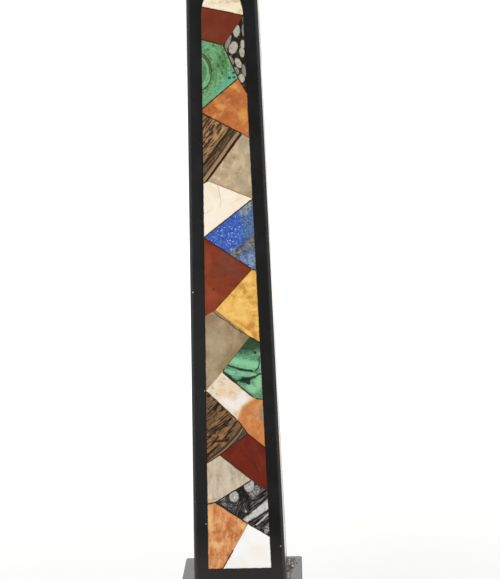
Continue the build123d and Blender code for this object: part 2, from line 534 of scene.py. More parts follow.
def slab_edge(node):
    """A function that gives the distance in from the nearest arris of a pedestal piece,
    the middle one of the distances to its nearest sides across, along and up."""
    low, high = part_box(node)

    def edge(place):
        x, y, z = place.parts()
        a, b = high.x / MM - abs(x), high.x / MM - abs(y)
        c = (z - low.z / MM).least(high.z / MM - z)
        return a.least(b).most(a.most(b).least(c))

    return edge


def foot_haze(place, nibble):
    """Dust and dried wax on the lowest part of the shaft."""
    z = place.parts()[2]
    return (z + nibble * 8).ease(SHAFT_FOOT + 46, SHAFT_FOOT + 9) * 0.42


def front_smear_and_sheen(place):
    """Where hands have greyed the front, up its left border."""
    x, y, _ = place.parts()
    patchy = place.cloud(34, 4, 0.6).ease(0.30, 0.62) * 0.2 + 0.13
    return x.ease(-8, -18) * y.ease(-10, -14) * patchy


def cap_residue_and_reflection(place, nibble):
    """Old bedding and dirt round the shaft's foot, most of it to the right."""
    x, y, z = place.parts()
    away = abs(x).most(abs(y)) - SHAFT_HALF
    mottle = place.cloud(2.6, 4, 0.65)
    near = (away + mottle * 7 - y.ease(4, 16) * 2.5).ease(7.4, 4.6)
    # Stronger to the right of the shaft, where the painted dark reflection of the shaft lies.
    right = x.ease(SHAFT_HALF - 4, SHAFT_HALF) * 0.85 + 0.15
    spots = place.shifted(0.8, 1).cells(1.5).ease(0.26, 0.14)
    spots = spots * place.cloud(5, 2).ease(0.46, 0.58)
    top = z.ease(CAP_TOP - 0.9, CAP_TOP - 0.4)
    return (near.most(spots) * right * top).least(1)


def no_residue(place, nibble):
    """Clean stone, but for a little dust in its hollows."""
    return place.cloud(9, 4, 0.6).ease(0.62, 0.78) * 0.12


def black_marble(node, look, edge_of, dull_of, specks=(), smear_and_sheen_of=None, level=None):
    """Polished black marble: near black with faint clouds, rare hairlines of calcite and
    white specks, and arrises dulled by handling.

    edge_of gives the distance from an arris, and dull_of how far the polish is lost under
    old bedding and dust, from 0 to 1, and smear_of how far hands have greyed it. specks
    are (across, back, up, radius) each. level is the height of a level top that is waxed.
    """
    marble = Finish(f"{node}_black_marble")
    place = marble.place
    marble.colour = place.cloud(22, 5, 0.6).ease(0.42, 0.72).blend(look.body, look.cloud)
    line = abs(place.shifted(9, 14).cloud(38, 2, 0.4) - 0.5)
    rare = place.cloud(55, 1).ease(0.57, 0.68)
    marble.lay(look.hairline, line.ease(0.0045, 0.0008) * rare * 0.3)
    speck = place.cells(19).ease(0.020, 0.011) * place.parts()[1].ease(-16, -12)
    for *centre, radius in specks:
        near = place.shifted(0.5, 0.8).distance_from(centre)
        speck = speck.most(near.ease(radius * 1.15, radius * 0.75))
    # A lighter grey up the front's left border: a handling smear and a painted sheen.
    if smear_and_sheen_of:
        marble.lay(look.smear_and_sheen, smear_and_sheen_of(place))
    edge = edge_of(place)
    nibble = place.cloud(1.7, 3)
    reach = look.wear_and_highlight_width / MM
    wear_and_highlight = (edge + nibble * reach * 0.8).ease(reach * 1.5, reach * 0.4)
    # Lighter grey along the arrises: real wear, and a painted highlight where they catch the
    # light.
    marble.lay(look.wear_and_highlight, wear_and_highlight * 0.7)
    chip = place.cloud(2.3, 2).ease(0.70, 0.76) * edge.ease(0.75, 0.25)
    marble.lay((128, 127, 124), chip * 0.5)
    dull = dull_of(place, nibble)
    wax_film_and_sheen, residue_and_reflection = 0.0, look.dust
    # On level tops a lighter grey is laid, old wax and a painted sheen, under a clear coat.
    if level is not None:
        wax_film_and_sheen = place.parts()[2].ease(level - 0.12, level - 0.03) * (1 - dull)
        marble.lay(look.wax_film_and_sheen, wax_film_and_sheen * 0.5)
        crust = marble.object_place(sizes=(1.1, 4, 1.1)).cloud(1, 4, 0.64)
        residue_and_reflection = crust.ease(0.36, 0.62).blend(look.residue_and_reflection, look.residue_pale)
    # On the cap this lays dirty bedding and a painted dark reflection of the shaft beside it.
    marble.lay(residue_and_reflection, dull * 0.7)
    marble.lay(look.speck, speck * 0.8)
    handling = place.cloud(30, 4, 0.65)
    scratch = marble.object_place(31, (0.25, 0.25, 14)).cloud(1, 2, 0.7)
    rough = look.gloss + handling * 0.08 + scratch.ease(0.62, 0.75) * 0.08
    rough = rough + wear_and_highlight * 0.2 + dull * 0.35
    height = place.cloud(16, 2) * 0.008 + nibble * wear_and_highlight * 0.03 - chip * 0.12
    height = height + dull * place.cloud(0.6, 3) * 0.06
    dress(node, marble.polish(rough, height - speck * 0.03, coat=wax_film_and_sheen * look.wax))


# Chips and shell specks of the shaft's front: across, up its face, radius.
FRONT_SPECKS = [(-20.6, 169.4, 0.4), (-17.9, 40.0, 0.32), (23.0, 26.5, 0.36), (-16, 115, 0.3)]


def front_place(across, up, radius):
    """A place on the shaft's front face, with a radius."""
    origin, right, upwards, _ = face_frame(0)
    return (*(origin + across * right + up * upwards), radius)


def dress(node, material):
    """Gives a CAD node one material."""
    target = frame["nodes"][node]
    target.data.materials.clear()
    target.data.materials.append(material)


class OBELISK_OT_black_marble(bpy.types.Operator):
    """Dress the shaft and the pedestal in polished black marble"""

    bl_idname = "obelisk.black_marble"
    bl_label = "Black marble"

    def execute(self, context):
        look = context.scene.obelisk_black_marble
        specks = [front_place(*speck) for speck in FRONT_SPECKS]
        # The shaft, with a handling smear and a painted sheen up its front's left border.
        black_marble("shaft", look, shaft_edge, foot_haze, specks, front_smear_and_sheen)
        for node in PEDESTAL_NODES:
            # The cap takes dirty bedding and a painted dark reflection of the shaft, and the
            # other pieces a little dust.
            dull = cap_residue_and_reflection if node == "pedestal_cap" else no_residue
            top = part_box(node)[1].z / MM
            black_marble(node, look, slab_edge(node), dull, level=top)
        return {"FINISHED"}


# ---------------- cement


# Joints of the front face that hardly show, where one marble seems to run into the next:
# their width, and for each (across, up) of its ends in the face's plane, and the tone that
# fills it.
SOFT_WIDTH = 1.4
SOFT_JOINTS = [
    ((-15.5, 114.9), (-6.3, 125.2), (200, 180, 150)),
    ((11.0, 110.1), (4.4, 105.8), (224, 178, 136)),
    ((4.4, 105.8), (1.5, 98.8), (224, 178, 136)),
    ((-3.0, 25.4), (4.9, 39.0), (206, 162, 122)),
    ((12.5, 219.4), (-9.6, 229.0), (164, 138, 104)),
    ((-14.7, 156.3), (-8.9, 159.3), (138, 84, 56)),
    ((-8.0, 158.6), (8.4, 145.0), (156, 120, 84)),
    ((-8.4, 159.8), (11.2, 180.6), (134, 70, 40)),
    ((16.4, 58.4), (8.6, 64.0), (104, 48, 40)),
    ((10.9, 315.2), (0.5, 301.2), (104, 58, 44)),
    ((8.8, 253.8), (12.4, 251.5), (118, 76, 46)),
    ((-4.4, 127.5), (8.9, 143.6), (98, 110, 74)),
]


def soft_joints_of(node):
    """The soft joints that bound one front stone, as lines about its centre."""
    outline = face_outlines(node)[0][1]
    joint_width = 0.9
    low, high = outline.min(0) - joint_width, outline.max(0) + joint_width
    middle = (low + high) / 2
    ends = [np.array(joint[:2]) for joint in SOFT_JOINTS]
    within = [pair for pair in ends if (pair > low).all() and (pair < high).all()]
    return [(*(pair - middle).ravel().tolist(), SOFT_WIDTH + 0.1) for pair in within]


def panel_border():
    """Width of black marble beside the panels, from the front one's foot."""
    low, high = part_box("front_cement")
    return SHAFT_HALF - (low.z / MM - SHAFT_FOOT) * (FACE_LEAN / FACE_RISE) - high.x / MM


def cement(look):
    """Dark cement: brown where it is bare and black where wax and dirt fill it."""
    joint = Finish("joint_cement")
    place = joint.place
    joint.colour = place.cloud(5, 4, 0.6).ease(0.35, 0.6).blend(look.body, look.dark)
    x, y, z = place.parts()
    on_face = joint.vector(x, z - SHAFT_FOOT, 0.0)
    front = y.ease(0, -10)
    for start, end, tone in SOFT_JOINTS:
        joint.lay(tone, on_face.line_mask([(*start, *end, SOFT_WIDTH)], 0) * front * 0.85)
    rim = shaft_half(place) - panel_border() - abs(x).least(abs(y))
    joint.lay(look.dark, rim, 1.1, 0.5)
    return joint.polish(0.75, place.cloud(0.35, 3) * 0.05, ior=1.15)


class OBELISK_OT_cement(bpy.types.Operator):
    """Dress the cement beds and joints of the four faces"""

    bl_idname = "obelisk.cement"
    bl_label = "Cement"

    def execute(self, context):
        material = cement(context.scene.obelisk_cement)
        for node in CEMENT_NODES:
            dress(node, material)
        return {"FINISHED"}


# ---------------- bedding


def bead_form(half, level, width, height, seed, ragged, side=1):
    """A ragged bead of bedding round a square joint, as a closed tube.

    The path is a superellipse of exponent 28: at angle t its radius is
    half / (|cos t|^28 + |sin t|^28)^(1/28), and its way outwards is the slope of that
    sum. The profile is a low hump, from inside the stone, up and over to the bed. Its
    size along the path is 1 plus ragged times a sum of cosines with random phases, and
    where that is thin it sinks below the bed. side is -1 for a bead that hangs under a
    slab.
    """
    count, power, thin, sink = 900, 28, 0.35, 0.6
    t = np.linspace(0, 2 * np.pi, count, endpoint=False)
    cos, sin = np.cos(t), np.sin(t)
    radius = half / (np.abs(cos) ** power + np.abs(sin) ** power) ** (1 / power)
    outward = np.stack([np.sign(v) * np.abs(v) ** (power - 1) for v in (cos, sin)], 1)
    outward /= np.linalg.norm(outward, axis=1, keepdims=True)
    waves = np.array([5, 9, 14, 23, 37, 58, 91, 140])
    phases = np.random.default_rng(seed).uniform(0, 2 * np.pi, len(waves))
    swell = np.cos(t[:, None] * waves + phases).sum(1) / np.sqrt(len(waves))
    swell = 1 + ragged * swell
    across = np.array([-0.5, 0.10, 0.45, 0.80, 1.0, 0.8, -0.5])
    up = np.array([0.75, 1.0, 0.85, 0.50, 0.0, -0.35, -0.35])
    reach = across[None] * width * np.clip(swell, 0.25, None)[:, None]
    rise = up[None] * height * swell[:, None] - (swell[:, None] < thin) * height * sink
    path = np.stack([cos, sin], 1) * radius[:, None]
    flat = path[:, None] + outward[:, None] * reach[..., None]
    corners = np.concatenate([flat, (level + side * rise)[..., None]], 2).reshape(-1, 3)
    around = len(across)
    here = np.arange(count)[:, None] * around
    on = np.roll(np.arange(count), -1)[:, None] * around
    k, n = np.arange(around), np.roll(np.arange(around), -1)
    quads = np.stack([here + k, here + n, on + n, on + k], 2).reshape(-1, 4)
    return corners * MM, quads if side > 0 else quads[:, ::-1]


def bedding(look):
    """Bedding that has been squeezed out and left: chalky, dusty, dark in its hollows."""
    finish = Finish("bedding")
    place = finish.place
    on_cap = place.parts()[2].ease(CAP_TOP - 3, CAP_TOP - 1)
    chalk = on_cap.blend(look.bed_low, look.bed_pale)
    finish.colour = place.cloud(1.2, 4, 0.66).ease(0.38, 0.56).blend(look.bed_dark, chalk)
    finish.lay(look.crumb, place.cells(0.9).ease(0.32, 0.18) * on_cap * 0.7)
    return finish.polish(0.85, place.cloud(0.4, 3) * 0.12)


# Crumbs of bedding that stand on the cap: across, back, radius.
CAP_CRUMBS = [
    (28.8, 15.2, 0.95), (26.7, 25.6, 0.85), (26.6, 22.2, 0.70), (26.5, 18.4, 0.90),
    (28.4, 20.4, 0.60), (31.4, 22.8, 0.50), (33.0, 27.8, 0.45), (26.3, 2.0, 0.80),
    (26.2, -2.6, 0.90), (29.4, -24.0, 0.60), (-27.6, -12.0, 0.50), (-26.6, 20.5, 0.60),
    (4.0, 26.8, 0.70), (-14.0, -27.0, 0.45),
]


def crumb_form(across, back, radius, seed):
    """A crumb of bedding: a lumpy ball, flattened where it sits in the cap.

    At latitude u and longitude v its radius swells by cosines of 2v and 3v, each times
    cos u and with a random phase, and by a cosine of 3u.
    """
    rings, around, sunk = 7, 14, CAP_TOP - 0.1
    phases = np.random.default_rng(seed).uniform(0, 2 * np.pi, 3)
    u = np.linspace(-np.pi / 2, np.pi / 2, rings + 2)[1:-1, None]
    v = np.linspace(0, 2 * np.pi, around, endpoint=False)[None]
    swell = 0.22 * np.cos(2 * v + phases[0]) + 0.14 * np.cos(3 * v + phases[1])
    ball = radius * (1 + swell * np.cos(u) + 0.08 * np.cos(3 * u + phases[2]))
    x = across + ball * np.cos(u) * np.cos(v)
    y = back + ball * np.cos(u) * np.sin(v)
    z = CAP_TOP + 0.45 * radius + ball * np.sin(u)
    poles = [[across, back, sunk], [across, back, CAP_TOP + 1.4 * radius]]
    corners = np.concatenate([np.stack([x, y, z], 2).reshape(-1, 3), poles])
    corners[:, 2] = np.maximum(corners[:, 2], sunk)
    return corners * MM, *ring_faces(rings, around)


def broken_bedding(look):
    """Broken crumbs of bedding: nearly white where they are fresh."""
    finish = Finish("bedding_crumbs")
    fresh = finish.place.cloud(0.9, 4, 0.66).ease(0.34, 0.50)
    finish.colour = fresh.blend(look.bed_pale, look.crumb)
    return finish.polish(0.85, finish.place.cloud(0.4, 3) * 0.1)


class OBELISK_OT_bedding(bpy.types.Operator):
    """Squeeze ragged beads of bedding out of the joints of the shaft and the pedestal"""

    bl_idname = "obelisk.bedding"
    bl_label = "Bedding"

    def execute(self, context):
        look = context.scene.obelisk_bedding
        material = bedding(look)
        width, height = look.bead_width / MM, look.bead_height / MM
        die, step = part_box("pedestal_die"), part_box("pedestal_step")
        inset = 0.5
        die_side, step_side = die[1].x / MM - inset, step[1].x / MM - inset
        beads = {
            "shaft_bedding": (SHAFT_HALF, SHAFT_FOOT, width, height, 3, 0.55),
            "die_foot_bedding": (die_side, die[0].z / MM, 0.6, 0.5, 5, 0.3),
            "die_head_bedding": (die_side, die[1].z / MM, 0.6, 0.5, 7, 0.3, -1),
            "step_bedding": (step_side, step[0].z / MM, 0.6, 0.5, 9, 0.3),
        }
        for name, sizes in beads.items():
            corners, quads = bead_form(*sizes)
            new_piece(name, corners, quads.tolist(), material, "cement")
        crumbs = [crumb_form(*crumb, seed) for seed, crumb in enumerate(CAP_CRUMBS)]
        corners, faces = joined_forms(crumbs)
        new_piece("cap_crumbs", corners, faces, broken_bedding(look), "cement")
        return {"FINISHED"}


# ---------------- cut stones: form


def face_outlines(node):
    """The outlines of a node's stones on their polished faces.

    Gives (quarter, corners) for each stone: corners run round it in its face's plane, as
    millimetres across and up. A face's triangles are those that look straight out of one
    side of the shaft, and its outline is made of the edges that only one of them has.
    """
    corners, triangles = mesh_arrays(node)
    normals = triangle_normals(corners, triangles)
    straight, flush = 0.999, 0.05
    found = []
    for quarter in range(4):
        origin, across, up, outward = face_frame(quarter)
        level = (corners - origin) @ outward
        on_face = (normals @ outward > straight) & (abs(level[triangles]).max(1) < flush)
        face = triangles[on_face]
        edges = np.concatenate([face[:, [0, 1]], face[:, [1, 2]], face[:, [2, 0]]])
        there = {tuple(e) for e in edges.tolist()}
        follows = dict(e for e in there if e[::-1] not in there)
        flat = np.stack([(corners - origin) @ across, (corners - origin) @ up], 1)
        while follows:
            start, step = follows.popitem()
            loop = [start]
            while step != start:
                loop.append(step)
                step = follows.pop(step)
            found.append((quarter, flat[loop]))
    return found


def points_round(outline, spacing):
    """Points evenly along each edge of an outline, and the way in from each.

    On an edge the way in is its normal. At a corner it is the mitre of the two normals,
    (n1 + n2) / (1 + n1.n2), so that both edges move in alike.
    """
    along = np.roll(outline, -1, 0) - outline
    length = np.linalg.norm(along, axis=1)
    inward = np.stack([-along[:, 1], along[:, 0]], 1) / length[:, None]
    before = np.roll(inward, 1, 0)
    sharpest = 0.15
    mitre = (inward + before) / np.maximum(1 + (inward * before).sum(1), sharpest)[:, None]
    points, ways = [], []
    for k, count in enumerate(np.maximum(1, np.ceil(length / spacing)).astype(int)):
        points.append(outline[k] + along[k] * (np.arange(count) / count)[:, None])
        ways.append(np.vstack([mitre[k], np.tile(inward[k], (count - 1, 1))]))
    return np.concatenate(points), np.concatenate(ways)


def distance_in(points, outline):
    """Distance of each point from the nearest edge of an outline."""
    along = np.roll(outline, -1, 0) - outline
    offset = points[:, None] - outline[None]
    reach = (offset * along).sum(2) / (along**2).sum(1)
    nearest = outline + np.clip(reach, 0, 1)[..., None] * along
    return np.linalg.norm(points[:, None] - nearest, axis=2).min(1)


def ring_faces(rings, around):
    """Faces of a form made of closed rings and a pole at each end: quads and triangles."""
    here = np.arange(around)
    onward = np.roll(here, -1)
    base = (np.arange(rings - 1) * around)[:, None]
    above = base + around
    quads = np.stack([base + here, base + onward, above + onward, above + here], 2)
    last = (rings - 1) * around
    pole = np.full(around, rings * around)
    first_fan = np.column_stack([onward, here, pole])
    last_fan = np.column_stack([last + here, last + onward, pole + 1])
    return quads.reshape(-1, 4), np.concatenate([first_fan, last_fan])


def stone_form(quarter, outline, shape, seed):
    """One cut stone: a profile carried round its outline.

    The profile starts at the middle of the stone's back, runs out to the foot of its side,
    up the side, over a quarter round, and in over the polished face to its middle. A ring
    lies at share s of the way from the middle to the outline, moved in by an inset. The
    face rises by crown * (1 - s * s) towards its middle.
    """
    radius = shape.rounding / MM
    points, ways = points_round(outline, shape.spacing / MM)
    middle = points.mean(0)
    over = np.radians([0, 30, 60, 90])
    shares = np.array([1, 1, 1, 1, 1, 0.985, 0.95, 0.88, 0.76, 0.55, 0.3])
    insets = np.concatenate([[0], radius * (1 - np.cos(over)), np.full(6, radius)])
    depths = np.concatenate([[STONE_THICKNESS], radius * (1 - np.sin(over)), np.zeros(6)])
    heights = shape.crown / MM * (1 - shares**2) - depths
    rings = points[None] + insets[:, None, None] * ways[None]
    rings = middle + shares[:, None, None] * (rings - middle)
    flat = np.concatenate([rings.reshape(-1, 2), [middle, middle]])
    poles = [-STONE_THICKNESS, shape.crown / MM]
    height = np.concatenate([np.repeat(heights, len(points)), poles])
    origin, across, up, outward = face_frame(quarter)
    solid = origin + flat @ np.stack([across, up]) + height[:, None] * outward
    centre = (outline.min(0) + outline.max(0)) / 2
    place = np.column_stack([flat - centre, np.full(len(flat), seed)])
    return solid * MM, *ring_faces(len(shares), len(points)), place, distance_in(flat, outline)


def joined_forms(forms):
    """Forms of corners, quads and triangles as one set of corners and of faces."""
    offsets = np.cumsum([0] + [len(form[0]) for form in forms])
    quads, fans = (
        np.concatenate([form[kind] + o for form, o in zip(forms, offsets)]) for kind in (1, 2)
    )
    return np.concatenate([form[0] for form in forms]), quads.tolist() + fans.tolist()


def new_piece(name, corners, faces, material, slot):
    """Adds a mesh in the row frame, in metres, and says what it is."""
    mesh = bpy.data.meshes.new(name)
    mesh.from_pydata(corners.tolist(), [], faces)
    mesh.materials.append(material)
    mesh.shade_smooth()
    piece = bpy.data.objects.new(name, mesh)
    bpy.context.scene.collection.objects.link(piece)
    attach(piece, "root")
    return piece


def cut_stones(node, material, seed):
    """Makes the stones of one CAD node anew, with rounded edges and a polished crown."""
    shape = bpy.context.scene.obelisk_stone_shape
    outlines = enumerate(face_outlines(node))
    forms = [stone_form(*outline, shape, seed + 7.3 * k) for k, outline in outlines]
    slot = next(s["material_slot"] for s in frame["record"]["subparts"] if s["node"] == node)
    piece = new_piece(f"{node}_cut", *joined_forms(forms), material, slot)
    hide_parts(node)
    for name, kind, part, key in (
        ("stone_place", "FLOAT_VECTOR", 3, "vector"), ("stone_edge", "FLOAT", 4, "value")
    ):
        values = np.concatenate([form[part] for form in forms]).astype(np.float32)
        attribute = piece.data.attributes.new(name, kind, "POINT")
        attribute.data.foreach_set(key, values.ravel())


# ---------------- cut stones: grounds

TONES = ("main", "pale", "dark")


class StoneFace(Finish):
    """A stone's material, read across and up its face in millimetres, with its three
    tones. Its place's third number differs from stone to stone."""

    def __init__(self, name, look, node):
        super().__init__(name)
        tones = (light(getattr(look, f"{node}_{part}")) for part in TONES)
        self.body, self.pale, self.dark = tones
        self.colour = self.body

    def own_place(self):
        """The place that the material is read at: across and up the stone's face."""
        return self.attribute("stone_place", "Vector")

    def attribute(self, name, output):
        """A number or place stored at the points of the stone."""
        return self.add("ShaderNodeAttribute", {"attribute_name": name}, {}, output)


# Each function below lays a kind of stone's pattern over a whole face, but for shell, which
# gives the colour of a fossil.


def clouded_marble(face, size):
    """A plain marble: soft clouds of a paler and a darker tone, and a finer mottling."""
    soft = face.place.cloud(size, 4, 0.55, 0.3)
    face.lay(face.pale, soft, 0.48, 0.68)
    face.lay(face.dark, soft, 0.47, 0.30)
    face.lay(face.dark, face.place.cloud(size * 0.2, 4, 0.6), 0.52, 0.75, 0.35)


def white_marble(face):
    """White marble: warm clouds, glassy paler crystals and a few faint veins."""
    clouded_marble(face, 6.0)
    face.lay(face.pale, face.place.cloud(1.1, 2), 0.52, 0.7, 0.45)
    vein = abs(face.place.shifted(5, 6).cloud(17, 3, 0.5) - 0.5)
    face.lay(face.dark, vein, 0.010, 0.002, 0.5)


def red_marble(face):
    """Red marble: close and even, with a faint grain drawn down and to the right."""
    clouded_marble(face, 8.0)
    face.lay(face.dark, face.place.grain(-55, 9, 0.9, 3), 0.55, 0.75, 0.55)
    face.lay(face.pale, face.place.grain(-50, 6, 1.3, 3), 0.56, 0.78, 0.45)
    face.lay(deepened(face.dark, 0.55), face.place.cells(3.2), 0.09, 0.04, 0.6)


def cream_marble(face):
    """Cream marble: nearly plain, with rare hairlines."""
    clouded_marble(face, 11.0)
    vein = abs(face.place.shifted(4, 5).cloud(21, 2, 0.5) - 0.47).ease(0.006, 0.001)
    face.lay((206, 190, 165), vein * face.place.cloud(9, 1).ease(0.50, 0.62) * 0.4)


def grey_marble(face):
    """Grey marble: smoky drifts that stand nearly upright, and broken paler veins."""
    clouded_marble(face, 6.5)
    place = face.place
    drift = place.grain(76, 12, 4.2, 4, 0.6)
    face.lay(face.pale, drift, 0.50, 0.68, 0.60)
    face.lay(face.dark, drift, 0.47, 0.30, 0.60)
    face.lay(face.dark, place.cloud(1.4, 4, 0.65), 0.50, 0.70, 0.35)
    vein = abs(place.shifted(4, 4).cloud(9, 4, 0.6) - 0.52).ease(0.016, 0.003)
    face.lay(face.pale, vein * place.cloud(5).ease(0.5, 0.6) * 0.5)


def orange_marble(face):
    """Orange marble: flames of a redder tone that close round pale yellowish clouds."""
    folded = face.place.shifted(5.5, 6)
    flame = folded.cloud(7, 5, 0.6, 0.4)
    face.lay(face.pale, flame, 0.50, 0.66)
    face.lay(face.dark, flame, 0.46, 0.32, 0.8)
    face.lay(face.dark, abs(folded.cloud(5.5, 3, 0.55) - 0.5), 0.035, 0.006, 0.4)
    fine = face.place.cloud(0.9, 4, 0.65)
    face.lay(face.pale, fine, 0.52, 0.72, 0.35)
    face.lay(face.dark, fine, 0.45, 0.28, 0.30)


def gold_marble(face):
    """Golden marble: clear yellow with ochre blotches, like damp blotting paper."""
    blotch = face.place.shifted(3, 4).cloud(4.2, 5, 0.62)
    face.lay(face.pale, blotch, 0.47, 0.62)
    face.lay(face.dark, blotch, 0.46, 0.34, 0.75)
    fine = face.place.cloud(0.9, 4, 0.66)
    face.lay(face.dark, fine, 0.53, 0.70, 0.55)
    face.lay(face.pale, fine, 0.46, 0.32, 0.6)


def lapis(face):
    """Lapis lazuli: mottled blue with paler rings and crumbs of calcite, greyer in places."""
    place = face.place
    deep = place.cloud(2.2, 5, 0.68)
    face.lay(face.pale, deep, 0.46, 0.64)
    face.lay((30, 50, 142), deep, 0.46, 0.32, 0.8)
    face.lay((88, 124, 216), abs(place.shifted(1.2, 1.5).cells(1.9) - 0.36), 0.13, 0.03, 0.5)
    face.lay(face.dark, place.shifted(4, 5).cloud(11, 4, 0.6), 0.56, 0.68, 0.8)
    where = place.cloud(7, 3).ease(0.30, 0.48)
    face.lay((132, 158, 216), place.cells(0.7).ease(0.36, 0.18) * where * 0.6)
    large = place.shifted(0.8, 1).cells(1.4).ease(0.28, 0.14)
    face.lay((190, 212, 240), large * where * 0.9)


def malachite(face, growth):
    """Malachite: uneven bands across the growth distance, dotted with darker grains.

    The bands are noise read along one line, at the growth distance in millimetres plus a
    little wandering.
    """
    place = face.place
    along = face.vector(growth + place.cloud(6, 3) * 3.0, 0.0, place.parts()[2])
    bands = along.cloud(2.4, 4, 0.6)
    face.lay(face.pale, bands, 0.50, 0.66, 0.9)
    face.lay(face.dark, bands, 0.47, 0.33, 0.65)
    mottle = place.cloud(1.5, 5, 0.68)
    face.lay(face.pale, mottle, 0.51, 0.66, 0.75)
    face.lay(face.dark, mottle, 0.46, 0.33, 0.65)
    where = place.cloud(7, 2).ease(0.50, 0.60)
    face.lay(deepened(face.dark, 0.6), place.cells(2.0).ease(0.19, 0.10) * where * 0.8)


def ringed_malachite(face):
    """Malachite that grew outwards from nodules."""
    malachite(face, face.place.shifted(4, 7).cells(24) * 24)


def striped_stone(face, place, turn):
    """Striped stone: layers along one direction, broken into long dashes.

    The layers are noise drawn out along the turn.
    """
    bent = place.shifted(1.3, 4)
    face.lay(face.pale, bent.grain(turn, 34, 1.9, 2, 0.6), 0.46, 0.56)
    face.lay((172, 122, 68), place.cloud(4.0, 2), 0.46, 0.60, 0.6)
    face.lay(face.pale, bent.grain(turn, 9, 0.45, 3, 0.6), 0.50, 0.62, 0.6)
    face.lay(face.dark, bent.grain(turn, 6.5, 0.9, 3, 0.62), 0.495, 0.545, 0.92)


def turned_stripes(face):
    """Striped stone whose layers run another way in each stone."""
    own = face.vector(0.0, 0.0, face.place.parts()[2])
    turned = {"Vector": face.place, "Angle": own.cloud(5, 0) * 6.0}
    spun = face.add("ShaderNodeVectorRotate", {"rotation_type": "Z_AXIS"}, turned)
    striped_stone(face, spun, 0)


def fossil_ground(face):
    """Black limestone: a close dark ground with grey crumbs of shell."""
    place = face.place
    face.lay(deepened(face.pale, 0.35), place.cloud(5, 4, 0.6), 0.5, 0.72, 0.35)
    crumb = place.shifted(0.6, 1).cells(1.2).ease(0.32, 0.18)
    where = place.cloud(3.2, 3).ease(0.52, 0.62)
    face.lay(deepened(face.pale, 0.6), crumb * where * 0.55)


def shell(face, tone):
    """The colour of a fossil: mottled, with darker pin holes."""
    mottle = face.place.cloud(1.3, 4, 0.68).ease(0.42, 0.62) * 0.75
    mottled = mottle.blend(tone, deepened(tone, 0.55))
    return (face.place.cells(0.9).ease(0.16, 0.08) * 0.4).blend(mottled, deepened(tone, 0.4))


def pebbled_limestone(face):
    """Black limestone with round fossils: each is what lies near the middle of a cell of
    a Voronoi pattern, away from its walls."""
    fossil_ground(face)
    bent = face.place.about((0, 0), 20, (0.75, 1.25, 1)).shifted(0.9, 2)
    near = bent.cells(4.6).ease(0.56, 0.48)
    apart = bent.cells(4.6, "DISTANCE_TO_EDGE").ease(0.04, 0.09)
    face.lay(shell(face, face.pale), near * apart)


# ---------------- cut stones: own marks


def crown_stone(face):
    """White stone of the crown, with a warm cloud towards its foot."""
    white_marble(face)
    warm = [(-4, -10, 5, 3), (5.5, -7, 4, 3.5, 20), (0, 3, 6, 4)]
    face.ovals((250, 228, 180), warm, 0.4, 0.6)


def upper_fossil(face):
    """Black limestone with large pale fossils, and greyer ones at its edges."""
    fossil_ground(face)
    grey = [
        (-3.4, 6.8, 1.1, 4.0, -22), (-4.9, 2.0, 0.8, 2.4, -5), (4.9, 12.8, 0.9, 3.2),
        (5.2, 18.4, 0.7, 2.0), (-1.9, -2.6, 0.9, 2.5, 22), (4.6, -8.2, 1.1, 3.2, 8),
        (0.5, -8.2, 1.3, 2.0, 20), (-5.3, 10.5, 0.6, 1.6, -20),
    ]
    face.ovals(shell(face, deepened(face.pale, 0.55)), grey, 1.0, 0.14, 0.5)
    large = [
        (1.2, 12.6, 1.8, 3.2, -4), (-0.8, 3.8, 2.2, 3.3, -22), (4.2, 5.4, 1.1, 2.3),
        (3.7, 1.3, 1.3, 2.6, 4), (1.6, -4.2, 1.5, 2.8, 24), (3.1, -12.2, 1.6, 2.2, 14),
    ]
    face.ovals(shell(face, face.pale), large, 1.0, 0.10, 0.5)


def ringed_green(face):
    """Malachite with an olive ring that closes on the left border, and dark dots."""
    place = face.place
    malachite(face, place.oval((-11, 1.5), (0.62, 1.0)))
    x, y, _ = place.parts()
    face.lay((104, 188, 158), x * 1.1 - y * 0.8 + place.cloud(4) * 5, 4.5, 11.5, 0.62)
    moss = [(1.2, 5.4, 3.6, 4.6), (-2.4, 0.6, 1.6, 5.0), (-8.6, 2.0, 2.0, 5.0)]
    face.ovals((66, 112, 58), moss, 0.5, 0.6, 1.6)
    ring = place.shifted(1.0, 3).oval((-11, 1.3), (6.9, 9.9))
    beside = abs(y - 5.0).ease(6.5, 3.5)
    face.lay((76, 80, 38), abs(ring - 0.92).ease(0.12, 0.05) * beside * 0.7)
    outer = abs(ring - 1.0).ease(0.055, 0.025)
    inner = abs(ring - 0.87).ease(0.045, 0.02) * beside
    face.lay((60, 56, 26), outer.most(inner * 0.85) * 0.9)
    dots = [
        (2.0, 6.5, 0.8, 0.9), (-0.6, 4.3, 0.7, 1.0), (2.2, 4.1, 0.6, 0.7),
        (-5.7, 12.9, 0.6, 0.5), (0.6, 8.7, 0.6, 0.9), (1.6, 0.0, 0.6, 0.7),
        (5.6, 1.4, 0.5, 0.5), (-2.9, 14.7, 0.7, 0.4),
    ]
    face.ovals(face.dark, dots, 0.8, 0.5, 0.4)
    deep = [(5.2, -2.4, 0.9, 0.8), (7.5, 0.2, 0.8, 0.7), (7.8, -2.1, 0.9, 0.7)]
    face.ovals((22, 62, 48), deep, 0.9, 0.3, 0.4)


